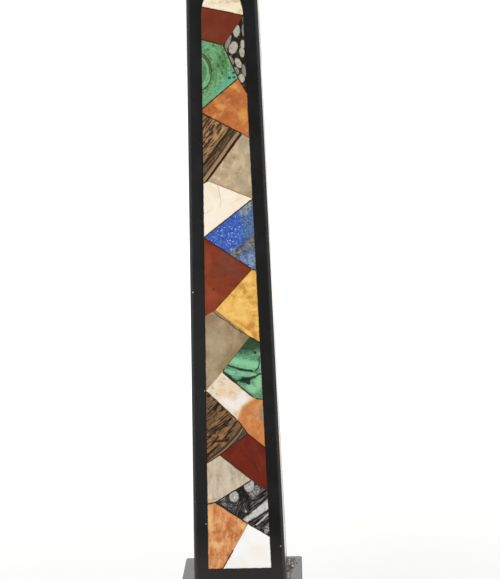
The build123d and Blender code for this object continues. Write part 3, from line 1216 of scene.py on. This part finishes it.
def upper_orange(face):
    """Orange marble with yellow clouds, a browner left corner and pale flecks."""
    orange_marble(face)
    yellow = [(-2.8, 1.2, 2.3, 1.5, -25), (5.2, 11.6, 1.7, 1.6), (9.4, -3.6, 2.6, 3.2)]
    face.ovals((232, 168, 84), yellow, 0.62, 0.6, 1.8)
    brown = [(-10.5, -0.5, 2.6, 2.0), (3.5, 4.0, 4.0, 2.4, 10), (1.0, -3.5, 3.2, 1.6, 30)]
    face.ovals(face.dark, brown, 0.45, 0.6)
    red = [(-4.2, -0.8, 1.2, 0.7), (9.0, 9.6, 1.0, 1.8), (3.6, 7.6, 1.2, 0.8, 30)]
    face.ovals((204, 88, 50), red, 0.5, 0.6, 1.4)
    face.lay((222, 146, 90), face.place.shifted(1.6, 2).cloud(1.3, 4, 0.66), 0.52, 0.70, 0.35)
    small = [(1.3, 4.4, 1.6, 1.0, 20), (-0.6, 5.6, 1.0, 0.7, -30)]
    face.ovals((226, 158, 104), small, 0.4, 0.9, 1.8)


def upper_brown(face):
    """Striped stone whose layers follow its lower edge: tan, black and grey in turn."""
    striped_stone(face, face.place, 50)
    bent = face.place.shifted(0.9, 7).shifted(0.5, 1.6)
    across = bent.about((-8.2, -17.2), 52.5).parts()[1]
    layers = [
        (0.000, face.dark), (0.035, face.dark), (0.050, face.pale), (0.120, (150, 123, 92)),
        (0.138, (72, 48, 28)), (0.152, (72, 48, 28)), (0.170, (116, 94, 66)),
        (0.300, (92, 75, 50)), (0.322, face.dark), (0.345, face.dark),
        (0.370, (164, 128, 84)), (0.500, (146, 112, 74)),
    ]
    streak = bent.grain(51, 6, 0.6, 3, 0.62).ease(0.48, 0.56) * across.ease(2.4, 3.2)
    edge = (streak * 0.85).blend((across / 20).ramp(layers), face.dark)
    face.lay(edge, across, 9.4, 7.8)
    straw = [(-3.1, 5.9, 1.3, 1.6, -10), (0.6, 9.8, 0.6, 1.8, -42)]
    face.ovals((184, 152, 98), straw, 0.75, 0.35, 1.0)
    soot = [
        (-1.4, 11.4, 1.8, 1.2, 40), (-5.6, 7.6, 1.8, 0.8, 40), (-8.8, 1.6, 1.0, 1.4),
        (-9.6, 6.0, 1.2, 0.8), (-9.0, 14.6, 1.6, 0.8, 30), (8.4, 4.8, 0.7, 1.8, -38),
        (3.0, 6.6, 0.6, 1.6, -38), (0.6, 3.4, 0.5, 1.6, -38),
    ]
    face.ovals((52, 42, 32), soot, 0.75, 0.5, 1.8)


def upper_grey(face):
    """Grey marble with a short bright vein, one that climbs to the right, and a rusty
    lower edge."""
    grey_marble(face)
    cool = [(8.6, 12.4, 3.0, 4.0), (6.0, -8.8, 3.4, 2.6, 20), (10.4, 2.0, 1.6, 6.0)]
    face.ovals((168, 154, 130), cool, 0.7, 0.7, 1.6)
    veins = [
        (-4.3, -1.0, -4.9, -5.2, 0.9), (-3.0, -10.1, -1.7, -6.9, 1.4),
        (-1.7, -6.9, 0.8, -5.7, 1.3), (0.8, -5.7, 4.9, -4.0, 1.0),
        (3.3, 3.1, 2.5, -0.9, 0.8), (-1.0, 1.2, 2.3, 0.0, 0.8),
    ]
    faded = face.place.cloud(2.4, 3).ease(0.34, 0.56)
    face.lines((226, 204, 166), veins, faded * 0.42, 1.8)
    glow = [(-3.8, 0.2, 0.8, 1.6, -18), (-6.8, -5.6, 2.2, 1.3, -30)]
    face.ovals((232, 214, 178), glow, faded * 0.6, 0.7, 1.6)
    face.lines((176, 138, 104), [(-6.0, -9.6, 10.8, -16.8, 1.6)], 0.4, 1.2)


def cream_stone(face):
    """Cream marble with one grey hairline that wanders down from its upper edge."""
    cream_marble(face)
    hairline = [
        (-5.1, 12.4, -4.0, 7.6, 0.35), (-4.0, 7.6, -3.5, 4.6, 0.35),
        (-3.5, 4.6, -4.3, 0.6, 0.30),
    ]
    face.lines((176, 156, 128), hairline, 0.7, 0.5)
    faint = [(-12.2, -2.2, -8.0, 0.2, 0.5), (3.0, 3.5, 8.0, 5.5, 0.5)]
    face.lines((232, 206, 168), faint, 0.6, 0.8)


def blue_stone(face):
    """Lapis lazuli: slate blue down its right side, grey towards its upper corner, with
    an olive band across its foot."""
    lapis(face)
    place = face.place
    fleck = place.cloud(0.9, 4, 0.66)
    slate = fleck.ease(0.38, 0.62).blend((46, 70, 106), (110, 138, 168))
    face.lay(slate, place.parts()[0] + place.cloud(3.2, 5, 0.7) * 12, 11.6, 15.6, 0.8)
    broken = place.cloud(1.9, 5, 0.68).ease(0.34, 0.50)
    cloudy = fleck.ease(0.36, 0.62).blend((86, 98, 112), (172, 176, 168))
    grey = [(8.6, 12.8, 3.0, 1.9, 35), (10.0, 16.2, 3.0, 1.5, 35), (6.6, 13.4, 1.4, 1.0, 35)]
    face.ovals(cloudy, grey, broken * 0.95, 0.5, 1.6)
    cool = place.cloud(1.5, 5, 0.7).ease(0.38, 0.62).blend((54, 80, 124), (142, 162, 190))
    face.ovals(cool, [(11.0, -14.0, 3.8, 4.4), (6.6, -13.6, 3.5, 2.2, -30)], 0.9, 0.5, 1.6)
    earth = place.cloud(1.8, 4, 0.62).ease(0.36, 0.64).blend((50, 60, 68), (134, 134, 122))
    band = [(1.4, -10.8, 7.2, -7.2, 4.6), (7.2, -7.2, 13.4, -3.4, 5.6)]
    face.lines(earth, band, broken * 0.96, 2.6)
    spots = [(4.5, -9.3, 0.9, 0.6, 20), (10.4, -5.1, 1.0, 0.7), (7.4, -7.6, 0.6, 0.4, 10)]
    face.ovals((158, 138, 96), spots, 0.7, 0.4, 0.8)


def middle_red(face):
    """Red marble with a browner middle and one dark spot."""
    red_marble(face)
    brown = [(-0.5, 7.5, 5.0, 6.0, -30), (4.0, 2.0, 5.0, 3.0, -40)]
    face.ovals((106, 58, 44), brown, 0.6, 0.7, 2.0)
    bright = [(-10.5, 9.0, 2.0, 6.0), (-9.0, -12.0, 2.5, 6.0)]
    face.ovals((158, 66, 38), bright, 0.5, 0.7, 1.5)
    face.ovals((88, 34, 22), [(-7.8, -6.8, 0.8, 0.7)], 0.8, 0.4)


def gold_stone(face):
    """Golden marble, paler in its middle, with ochre blotches to the right."""
    gold_marble(face)
    light_patches = [(1.4, -1.0, 2.6, 4.6, 20), (-6.0, 0.5, 3.0, 1.8, 25)]
    face.ovals(face.pale, light_patches, 0.7, 0.5, 1.5)
    ochre = [
        (2.8, 11.2, 1.6, 2.0, -20), (6.8, 4.9, 2.0, 1.0), (7.7, -10.6, 1.6, 2.2),
        (5.2, -12.2, 1.6, 1.0, -30), (9.0, -16.0, 1.2, 2.4), (4.5, 8.0, 1.2, 1.2),
        (1.5, -13.0, 2.6, 1.2, -36),
    ]
    face.ovals(face.dark, ochre, 0.75, 0.5, 1.4)
    rust = [(-1.0, -7.6, 8.6, -14.4, 1.4), (8.4, -14.0, 10.4, -18.6, 1.8)]
    face.lines((200, 132, 56), rust, 0.55, 1.6)


def dove_stone(face):
    """Dove grey marble with a dark double line under its upper edge, and olive beside
    the malachite."""
    grey_marble(face)
    pale_patches = [(-6.0, 4.5, 5.5, 7.5), (-8.5, -11.0, 3.5, 7.0)]
    face.ovals((181, 162, 133), pale_patches, 0.55, 0.7, 2.0)
    face.ovals((138, 110, 82), [(-8.7, 17.5, 3.6, 3.2)], 0.7, 0.6, 1.5)
    face.lines((138, 118, 78), [(11.7, 7.7, -4.0, -11.3, 3.4)], 0.6, 1.6)
    lines = [
        (-7.0, 21.8, -3.7, 18.4, 0.50), (-3.7, 18.4, 0.6, 15.8, 0.60),
        (0.6, 15.8, 5.2, 11.6, 0.60), (5.2, 11.6, 11.2, 8.0, 0.50),
    ]
    face.lines((60, 44, 32), lines, 0.85, 0.4)
    face.lines((140, 104, 78), [(-5.0, 20.4, 1.6, 15.4, 0.9)], 0.35, 0.6)


def banded_green(face):
    """Malachite in long bands: dark at its top, pale across its middle, with black folds
    below."""
    place = face.place
    x, y, _ = place.parts()
    bent_y = y + x * 0.22
    malachite(face, bent_y)
    face.lay((146, 212, 164), abs(bent_y - 4.4 + place.cloud(5) * 2), 3.4, 0.8, 0.75)
    teal = place.cloud(1.6, 4).blend((10, 36, 26), (48, 72, 46))
    face.lay(teal, y + place.cloud(3.5, 3) * 6, 9.6, 14.4, 0.92)
    bright = [(4.9, -11.1, 3.4, 2.2, -30), (8.6, -8.6, 2.0, 3.2), (-5.0, 0.2, 2.4, 0.8, -15)]
    face.ovals((156, 212, 162), bright, 0.7, 0.5, 1.2)
    folds = [
        (-8.7, 2.4, -2.0, -0.1, 1.2), (-2.0, -0.1, 5.2, -1.6, 1.4),
        (-10.6, -1.9, -7.0, -4.4, 2.2), (-7.0, -4.4, -3.8, -7.4, 1.7),
        (-3.6, -7.0, 0.1, -5.7, 0.9), (0.1, -5.7, 4.2, -5.5, 1.8),
        (4.2, -5.5, 6.9, -4.7, 1.5), (6.9, -4.7, 9.9, -3.0, 0.9),
        (9.4, 6.0, 9.3, 1.0, 0.7), (9.3, 1.0, 7.4, -1.4, 0.6),
    ]
    face.lines((5, 22, 17), folds, 0.92, 0.7)
    patches = [(1.4, -6.8, 3.2, 1.2, 4), (3.0, -7.9, 1.5, 1.0, -30), (7.3, 8.7, 0.8, 0.7)]
    face.ovals((5, 22, 17), patches, 0.92, 0.25, 0.8)
    edges = [(4.7, 17.2, 10.5, 13.9, 1.1), (-3.8, -7.8, 6.1, -16.4, 0.8)]
    face.lines((40, 42, 24), edges, 0.8, 0.3)
    face.ovals(face.dark, [(-6.0, 0.0, 3.0, 0.8, -15), (7.8, -1.0, 2.6, 1.0, 10)], 0.45, 0.6, 1.2)


def rose_white_stone(face):
    """White marble with yellow clouds above and a cool glassy part by the orange stone."""
    white_marble(face)
    warm = [(3.0, 5.2, 4.0, 1.8, -30), (-4.6, 3.0, 2.2, 2.6), (-1.0, -1.0, 1.6, 2.4, 40)]
    face.ovals((238, 204, 150), warm, 0.55, 0.6, 1.4)
    cool = [(6.0, -3.6, 5.0, 3.4, 55), (0.0, -4.0, 4.0, 2.2, -40)]
    face.ovals((242, 239, 236), cool, 0.8, 0.6, 1.4)
    specks = [(-10.6, 1.0, 0.5, 0.3, 30), (-7.2, 1.3, 0.3, 0.25), (-8.8, 4.6, 0.4, 0.2, 20)]
    face.ovals((120, 92, 60), specks, 0.7, 0.4, 0.5)
    blush = [(13.2, -1.6, 6.6, -5.9, 2.2), (6.6, -5.9, 3.5, -13.4, 2.2)]
    face.lines((232, 196, 156), blush, 0.75, 1.2)


def middle_orange(face):
    """Orange marble, even, with a greenish grey inclusion at its right edge."""
    orange_marble(face)
    inclusion = face.place.cloud(1.0, 3).blend((92, 88, 66), (172, 164, 136))
    face.ovals(inclusion, [(6.0, 6.6, 1.4, 2.0), (5.8, 3.2, 1.2, 2.0)], 0.85, 0.3, 1.0)
    face.ovals(face.dark, [(0.0, 8.0, 3.0, 2.0), (-4.0, -2.0, 2.0, 4.0, 10)], 0.3, 0.7, 1.5)
    bleached = [(2.2, 13.8, -4.2, 9.7, 1.5), (-4.2, 9.7, -7.3, 2.1, 1.5)]
    face.lines((218, 162, 116), bleached, 0.7, 1.2)


def lower_brown(face):
    """Striped stone: long dark dashes that climb to the right, smoky above, and thin
    layers that follow its lower edge and rise from it."""
    place = face.place
    face.lay((158, 112, 72), place.cloud(3.4, 3), 0.46, 0.64, 0.8)
    face.lay(face.pale, place.shifted(1.0, 2).grain(38, 9, 0.5, 3, 0.6), 0.50, 0.62, 0.6)
    smoke = [(-7.4, 9.6, 3.2, 4.8, -30), (-9.6, 2.6, 1.6, 3.0)]
    face.ovals((92, 72, 50), smoke, 0.6, 0.6, 2.0)
    dash = place.shifted(1.2, 3.5).grain(38, 8, 0.65, 2, 0.55)
    face.lay(face.dark, dash, 0.508, 0.545, 0.92)
    strokes = [
        (-9.9, 7.4, -4.0, 13.1, 0.8), (-6.1, 10.1, -4.2, 12.9, 1.5),
        (-10.0, -2.3, -1.3, 3.0, 0.8), (-1.3, 3.0, 3.0, 4.3, 0.7),
        (-9.5, -3.5, -0.9, 1.6, 0.7), (-10.5, -5.6, -6.1, -2.4, 0.9),
        (-6.1, -2.4, 0.4, 1.1, 0.8), (-0.7, -6.3, 1.2, -2.6, 1.0),
        (1.2, -2.6, 5.5, 2.4, 1.0), (-9.1, -10.3, -6.3, -8.0, 1.0),
        (-6.3, -8.0, 2.0, -7.5, 1.2), (-11.4, -16.8, -7.3, -12.7, 1.1),
        (-7.3, -12.7, -4.5, -9.6, 0.9),
    ]
    face.lines(face.dark, strokes, 0.92, 1.2)
    blobs = [(-2.8, -5.6, 1.7, 1.1, 42), (-6.0, -9.6, 1.4, 0.7, 30), (-1.8, -9.9, 1.6, 0.8, 30)]
    face.ovals((178, 116, 64), blobs, 0.75, 0.4, 1.2)
    x, across, _ = place.shifted(0.6, 4).about((-4.1, -15.9), 36.0).parts()
    past = x.most(0)
    rise = across - past * past * 0.009
    layers = [
        (0.00, (74, 54, 38)), (0.12, (104, 80, 56)), (0.20, (152, 126, 96)),
        (0.28, (136, 108, 78)), (0.36, (76, 56, 38)), (0.52, face.dark),
        (0.60, (110, 84, 56)), (0.72, (60, 44, 28)),
    ]
    face.lay((rise / 4).ramp(layers), rise, 3.2, 2.4)
    slaty = place.grain(56, 5, 0.6, 3, 0.6).ease(0.46, 0.60)
    face.lay(slaty.blend((48, 40, 36), (106, 98, 92)), rise, 0.1, -0.5)


def lower_red(face):
    """Deep red marble with one dark streak and its fainter fellow."""
    red_marble(face)
    streak = [(1.2, 9.6, 4.6, 2.0, 0.5), (4.6, 2.0, 8.2, -6.4, 0.6)]
    face.lines((62, 28, 22), streak, 0.65, 0.8)
    fellow = [(3.4, 8.0, 10.0, -4.0, 0.4), (-6.0, 2.0, -2.0, -3.0, 0.4)]
    face.lines((78, 34, 26), fellow, 0.45, 0.9)


def ash_stone(face):
    """Ash grey marble with upright pale drifts and a golden spot at its lower corner."""
    grey_marble(face)
    streak = face.place.shifted(0.8, 3).grain(86, 8, 1.1, 3, 0.55)
    face.lay(face.pale, streak, 0.50, 0.66, 0.6)
    face.lay(face.dark, streak, 0.50, 0.28, 0.6)
    drifts = [(-1.0, 2.0, 1.6, 8.0, 8), (-8.0, 1.0, 1.2, 6.0, -4), (4.5, -1.0, 1.2, 4.0, 14)]
    face.ovals((220, 208, 188), drifts, 0.45, 0.6, 1.6)
    gold = [(-10.8, -9.8, 1.3, 1.1), (-8.4, -12.4, 1.6, 0.7, 20)]
    face.ovals((232, 204, 156), gold, 0.8, 0.5, 1.0)
    face.lines((92, 64, 36), [(-12.5, -13.7, -8.1, -12.9, 1.0)], 0.7, 0.5)


def lower_fossil(face):
    """Black limestone: round fossils along its upper edge, a white layer that climbs to
    the right, and greyer broken layers on both sides of it."""
    fossil_ground(face)
    place = face.place
    grey = deepened(face.pale, 0.42)
    bent = place.shifted(1.4, 2.5)
    streaks = bent.grain(58, 6, 0.55, 3, 0.62).ease(0.50, 0.60).blend(face.body, grey)
    face.ovals(streaks, [(-1.8, 0.8, 3.6, 5.2, -25)], 0.9, 0.4, 1.8)
    x, across, _ = place.shifted(1.1, 3).about((2.5, -5.6), 33).parts()
    layers = bent.grain(34, 9, 0.8, 3, 0.62).ease(0.47, 0.60).blend(face.body, grey)
    below = across.ease(0.8, -1.4)
    face.lay(layers, below.most((x - across * 0.4).ease(2.5, 5.5)) * 0.95)
    mixed = place.cloud(1.1, 4, 0.68)
    crumbs = mixed.ease(0.42, 0.62).blend((24, 27, 32), (118, 120, 120))
    mosaic = [(-5.6, 0.8, 3.4, 2.0, -25), (-10.4, 4.2, 2.4, 2.0), (1.6, -1.4, 1.8, 1.2, 30)]
    face.ovals(crumbs, mosaic, 0.85, 0.5, 1.8)
    soft = place.cloud(1.4, 3, 0.6).ease(0.44, 0.64) * 0.6
    band = [(1.8, -6.6, 7.0, -2.9, 2.8), (7.0, -2.9, 15.0, 2.4, 4.6)]
    face.lines(soft.blend((214, 210, 206), (158, 154, 150)), band, 0.97, 0.9)
    black = [
        (3.4, -8.2, 15.0, -0.9, 1.2), (3.0, -3.4, 12.6, 4.6, 0.8), (6.2, -9.0, 14.0, -4.4, 0.8)
    ]
    face.lines(face.body, black, 0.95, 1.0)
    thin = [(7.6, -9.4, 10.5, -6.8, 0.7), (10.5, -6.8, 14.9, -2.6, 1.0)]
    face.lines((196, 192, 188), thin, 0.9, 0.6)
    broken = mixed.ease(0.40, 0.58).blend((172, 172, 164), (70, 68, 66))
    greyer = [
        (7.9, 10.4, 1.9, 2.3, -10), (5.6, 8.0, 1.5, 1.3, 20), (13.2, -12.4, 1.5, 2.3, -20),
        (-10.8, 6.2, 1.9, 0.9, 30), (-9.6, 2.6, 1.5, 0.9, -10),
    ]
    face.ovals(broken, greyer, 0.95, 0.2, 0.8)
    shells = [(4.1, 13.0, 2.7, 3.6, -12), (-4.4, 6.9, 2.5, 3.1, -8), (1.9, -1.6, 0.6, 0.5)]
    face.ovals(shell(face, (188, 184, 175)), shells, 1.0, 0.12, 0.6)
    hearts = [(-4.1, 6.4, 0.5, 0.5), (4.4, 12.2, 0.4, 0.4)]
    face.ovals((232, 230, 224), hearts, 0.8, 0.3, 0.2)


def lower_orange(face):
    """Orange marble in upright flames: pale at its left edge, redder through its middle."""
    orange_marble(face)
    flame = face.place.shifted(3.2, 4).grain(78, 7, 1.7, 4, 0.6)
    face.lay(face.pale, flame, 0.50, 0.66, 0.75)
    face.lay(face.dark, flame, 0.46, 0.34, 0.65)
    pale_patches = [(-9.4, 8.0, 1.5, 8.0), (-7.6, -4.0, 2.0, 3.0), (8.6, 5.6, 1.8, 1.6)]
    face.ovals((240, 196, 132), pale_patches, 0.65, 0.6, 1.6)
    red = [(1.9, 7.6, 2.2, 3.6, -15), (-5.8, -2.2, 1.8, 1.3), (-9.2, -10.5, 1.4, 3.2)]
    face.ovals((190, 96, 52), red, 0.55, 0.7, 1.6)


def foot_stone(face):
    """White marble, nearly plain."""
    clouded_marble(face, 8.0)
    face.ovals((250, 240, 228), [(6.0, -3.0, 5.0, 4.0), (-3.0, 6.0, 3.0, 3.0)], 0.5, 0.8, 1.5)


# ---------------- cut stones: operators

# Each kind of stone: its operator's label, what it is, what draws its joined stones on the
# other faces, and its front stones, each with what draws it, its label, and its main, pale
# and dark tones. The joined stones take the first front stone's tones.
STONES = {
    "white": ("White stones", "white marble stones", white_marble, {
        "white_crown": (
            crown_stone, "Crown stone", (245, 229, 200), (253, 242, 221), (208, 190, 156)),
        "rose_white": (
            rose_white_stone, "Rose white stone",
            (234, 216, 191), (244, 232, 216), (198, 172, 140)),
        "white_foot": (
            foot_stone, "Foot stone", (253, 252, 248), (253, 253, 253), (251, 246, 239)),
    }),
    "red": ("Red stones", "red marble stones", red_marble, {
        "red_upper": (
            red_marble, "Upper red stone", (114, 46, 25), (121, 54, 35), (101, 38, 17)),
        "red_middle": (
            middle_red, "Middle red stone", (130, 54, 27), (145, 68, 37), (113, 41, 12)),
        "red_lower": (
            lower_red, "Lower red stone", (109, 32, 14), (119, 40, 19), (95, 25, 8)),
    }),
    "fossil": (
        "Fossil limestone", "black limestone with its fossils", pebbled_limestone, {
        "fossil_upper": (
            upper_fossil, "Upper fossil stone", (30, 25, 18), (190, 182, 164), (24, 20, 14)),
        "fossil_lower": (
            lower_fossil, "Lower fossil stone", (20, 19, 20), (176, 171, 163), (16, 16, 15)),
    }),
    "green": ("Malachite", "malachite", ringed_malachite, {
        "green_ringed": (
            ringed_green, "Ringed malachite", (100, 149, 100), (133, 192, 149), (48, 84, 42)),
        "green_banded": (
            banded_green, "Banded malachite", (90, 145, 107), (136, 195, 155), (30, 68, 42)),
    }),
    "orange": ("Orange stones", "orange marble stones", orange_marble, {
        "orange_upper": (
            upper_orange, "Upper orange stone", (188, 110, 58), (213, 145, 84), (154, 80, 38)),
        "orange_middle": (
            middle_orange, "Middle orange stone",
            (205, 130, 72), (214, 152, 100), (184, 110, 58)),
        "orange_lower": (
            lower_orange, "Lower orange stone",
            (214, 142, 89), (237, 179, 125), (172, 98, 50)),
    }),
    "brown": ("Striped stones", "striped brown stones", turned_stripes, {
        "brown_upper": (
            upper_brown, "Upper striped stone", (116, 88, 59), (166, 134, 101), (40, 20, 4)),
        "brown_lower": (
            lower_brown, "Lower striped stone", (120, 91, 58), (156, 126, 94), (32, 14, 2)),
    }),
    "grey": ("Grey stones", "grey marble stones", grey_marble, {
        "grey_upper": (
            upper_grey, "Upper grey stone", (187, 164, 131), (211, 188, 153), (150, 128, 102)),
        "dove": (dove_stone, "Dove stone", (161, 138, 106), (178, 157, 127), (128, 106, 77)),
        "ash": (ash_stone, "Ash stone", (199, 181, 157), (214, 197, 174), (168, 150, 125)),
    }),
    "cream": ("Cream stones", "cream marble stones", cream_marble, {
        "cream": (
            cream_stone, "Cream stone", (250, 237, 216), (253, 243, 229), (242, 226, 201)),
    }),
    "blue": ("Lapis lazuli", "lapis lazuli", lapis, {
        "blue": (blue_stone, "Blue stone", (48, 80, 158), (66, 106, 196), (76, 96, 110)),
    }),
    "gold": ("Golden stones", "golden marble", gold_marble, {
        "gold": (gold_stone, "Golden stone", (230, 178, 89), (247, 198, 111), (195, 134, 56)),
    }),
}


def polished_stone(face, clean=()):
    """Closes a stone's material: edges stained by cement, an uneven polish, small pits.

    clean lists the lines along which its edge has no stain.
    """
    look = bpy.context.scene.obelisk_cement
    place, gloss, reach = face.place, 0.13, look.stain_width / MM
    wander = place.cloud(2.6, 3) - 0.5
    edge = face.attribute("stone_edge", "Fac")
    stain = (edge + wander * reach * 2.4).ease(reach, reach * 0.2)
    if clean:
        stain = stain * (1 - place.line_mask(clean, 0))
    face.lay(look.stain, stain * 0.8, how="DARKEN")
    pits = place.cells(2.6).ease(0.06, 0.03) * place.cloud(4, 1).ease(0.5, 0.6)
    rough = gloss + place.cloud(6, 3) * 0.10 + pits * 0.2
    return face.polish(rough, place.cloud(7, 2) * 0.008 - pits * 0.03)


def make_stones(look, front, ground, joined):
    """Makes the front stones of one kind, and the joined stones of the other faces.

    front begins each front stone's row with the function that draws it. ground draws the
    joined ones in the first stone's tones, and each takes up its own share of the last
    one's main tone.
    """
    for node, (draw, *_) in front.items():
        face = StoneFace(f"{node}_stone", look, node)
        draw(face)
        seed = 10.0 + 3.7 * FRONT_ORDER.index(node)
        cut_stones(node, polished_stone(face, soft_joints_of(node)), seed)
    first, *others = front
    face = StoneFace(f"{joined}_stone", look, first)
    ground(face)
    if others:
        own = face.vector(0.0, 0.0, face.place.parts()[2])
        face.lay(getattr(look, f"{others[-1]}_main"), own.cloud(6, 0) * 0.5)
    cut_stones(joined, polished_stone(face), 200.0 + 60 * FRONT_ORDER.index(first))


def stone_look(kind, stones, front):
    """A property group with the main, pale and dark tones of each front stone of a kind."""
    tints = {
        f"{node}_{part}": tint(f"{title}, {part}", f"The stone's {part} tone", *tone)
        for node, (_, title, *tones) in front.items()
        for part, tone in zip(TONES, tones)
    }
    members = {"__doc__": f"The tones of the {stones}.", "__annotations__": tints}
    return type(f"{kind.title()}StoneLook", (bpy.types.PropertyGroup,), members)


def stone_operator(kind, label, stones, ground, front):
    """An operator that makes the stones of one kind."""

    def execute(self, context):
        look = getattr(context.scene, f"obelisk_{kind}_stones")
        make_stones(look, front, ground, f"other_{kind}_stones")
        return {"FINISHED"}

    members = {
        "__doc__": f"Cut and dress the {stones}", "bl_idname": f"obelisk.{kind}_stones",
        "bl_label": label, "execute": execute,
    }
    return type(f"OBELISK_OT_{kind}_stones", (bpy.types.Operator,), members)


# ---------------- studio


# The lamps' width and their places, in metres.
LAMP_SIZE = 1.2
LAMPS = {"key": (-1.2, -1.7, 0.9), "fill": (1.6, -1.2, 0.8), "back": (0.3, 1.7, 1.4)}


def area_lamp(name, place, aim, watts):
    """A large soft lamp that looks at a point."""
    lamp = bpy.data.lights.new(name, "AREA")
    lamp.shape, lamp.size, lamp.energy = "SQUARE", LAMP_SIZE, watts
    holder = bpy.data.objects.new(name, lamp)
    holder.location = place
    holder.rotation_euler = (Vector(place) - Vector(aim)).to_track_quat("Z", "Y").to_euler()
    bpy.context.scene.collection.objects.link(holder)


def studio_floor(look):
    """A plain pale floor, which shows white to the camera where nothing shades it."""
    reach = 30.0
    corners = [(-reach, -reach, 0), (reach, -reach, 0), (reach, reach, 0), (-reach, reach, 0)]
    mesh = bpy.data.meshes.new("floor")
    mesh.from_pydata(corners, [], [(0, 1, 2, 3)])
    paper = Finish("floor_paper")
    x, y, _ = paper.place.parts()
    away = (x * x + y * y).root().ease(150, 1100)
    glow = paper.white_mask() * (away * 0.45 + 0.22)
    surface = {
        "Base Color": light(look.floor_colour), "Roughness": 0.9, "Specular IOR Level": 0.0,
        "Emission Color": glow.blend((0, 0, 0), (255, 255, 255)), "Emission Strength": 1.0,
    }
    mesh.materials.append(paper.close("ShaderNodeBsdfPrincipled", surface))
    floor = bpy.data.objects.new("floor", mesh)
    bpy.context.scene.collection.objects.link(floor)


def surround(look):
    """Light from all round, which the camera and polished faces see as white."""
    world = bpy.data.worlds.new("surround")
    bpy.context.scene.world = world
    world.use_nodes = True
    nodes = Nodes(world.node_tree)
    strength = nodes.white_mask() * (1 - look.sky_strength) + look.sky_strength
    sky = {"Color": light(look.sky_colour), "Strength": strength}
    shine = nodes.add("ShaderNodeBackground", {}, sky)
    nodes.add("ShaderNodeOutputWorld", {}, {"Surface": shine})


def studio_camera(look):
    """The camera on its sphere about the point that it looks at, then rolled."""
    level = math.cos(look.elevation)
    back = Vector((
        math.sin(look.azimuth) * level, -math.cos(look.azimuth) * level,
        math.sin(look.elevation),
    ))
    aim = Vector((look.aim_across, 0, SHAFT_LOW.z + look.aim_up))
    lens = bpy.data.cameras.new("camera")
    lens.lens, lens.clip_start = look.lens, 0.01
    camera = bpy.data.objects.new("camera", lens)
    camera.location = aim + back * look.distance
    camera.rotation_mode = "QUATERNION"
    roll = Quaternion((0, 0, 1), look.roll)
    camera.rotation_quaternion = back.to_track_quat("Z", "Y") @ roll
    bpy.context.scene.collection.objects.link(camera)
    bpy.context.scene.camera = camera


class OBELISK_OT_studio(bpy.types.Operator):
    """Set up the floor, the lamps and the camera"""

    bl_idname = "obelisk.studio"
    bl_label = "Studio"

    def execute(self, context):
        look = context.scene.obelisk_studio
        context.scene.view_settings.view_transform = "Standard"
        middle = (CAD_LOW + CAD_HIGH) / 2
        studio_floor(look)
        surround(look)
        for name, place in LAMPS.items():
            area_lamp(f"{name}_lamp", place, middle, getattr(look, f"{name}_power"))
        studio_camera(look)
        return {"FINISHED"}


# ---------------- add-on

PROPERTY_GROUPS = {
    "obelisk_studio": ObeliskStudio,
    "obelisk_black_marble": BlackMarbleLook,
    "obelisk_cement": CementLook,
    "obelisk_bedding": BeddingLook,
    "obelisk_stone_shape": CutStoneShape,
}
PROPERTY_GROUPS |= {
    f"obelisk_{kind}_stones": stone_look(kind, stones, front)
    for kind, (_, stones, _, front) in STONES.items()
}
OPERATORS = (
    OBELISK_OT_studio,
    OBELISK_OT_black_marble,
    OBELISK_OT_cement,
    OBELISK_OT_bedding,
    *(stone_operator(kind, *row) for kind, row in STONES.items()),
)


class OBELISK_PT_sidebar(bpy.types.Panel):
    """The operators, in the order in which they are used"""

    bl_label = "Inlaid obelisk"
    bl_space_type = "VIEW_3D"
    bl_region_type = "UI"
    bl_category = "Obelisk"

    def draw(self, context):
        for operator in OPERATORS:
            self.layout.operator(operator.bl_idname)


CLASSES = (*PROPERTY_GROUPS.values(), *OPERATORS, OBELISK_PT_sidebar)


def register():
    for cls in CLASSES:
        bpy.utils.register_class(cls)
    for name, group in PROPERTY_GROUPS.items():
        setattr(bpy.types.Scene, name, bpy.props.PointerProperty(type=group))


def unregister():
    for name in PROPERTY_GROUPS:
        delattr(bpy.types.Scene, name)
    for cls in reversed(CLASSES):
        bpy.utils.unregister_class(cls)


def main():
    register()
    for operator in OPERATORS:
        getattr(bpy.ops.obelisk, operator.bl_idname.split(".")[1])()


if __name__ == "__main__":
    main()
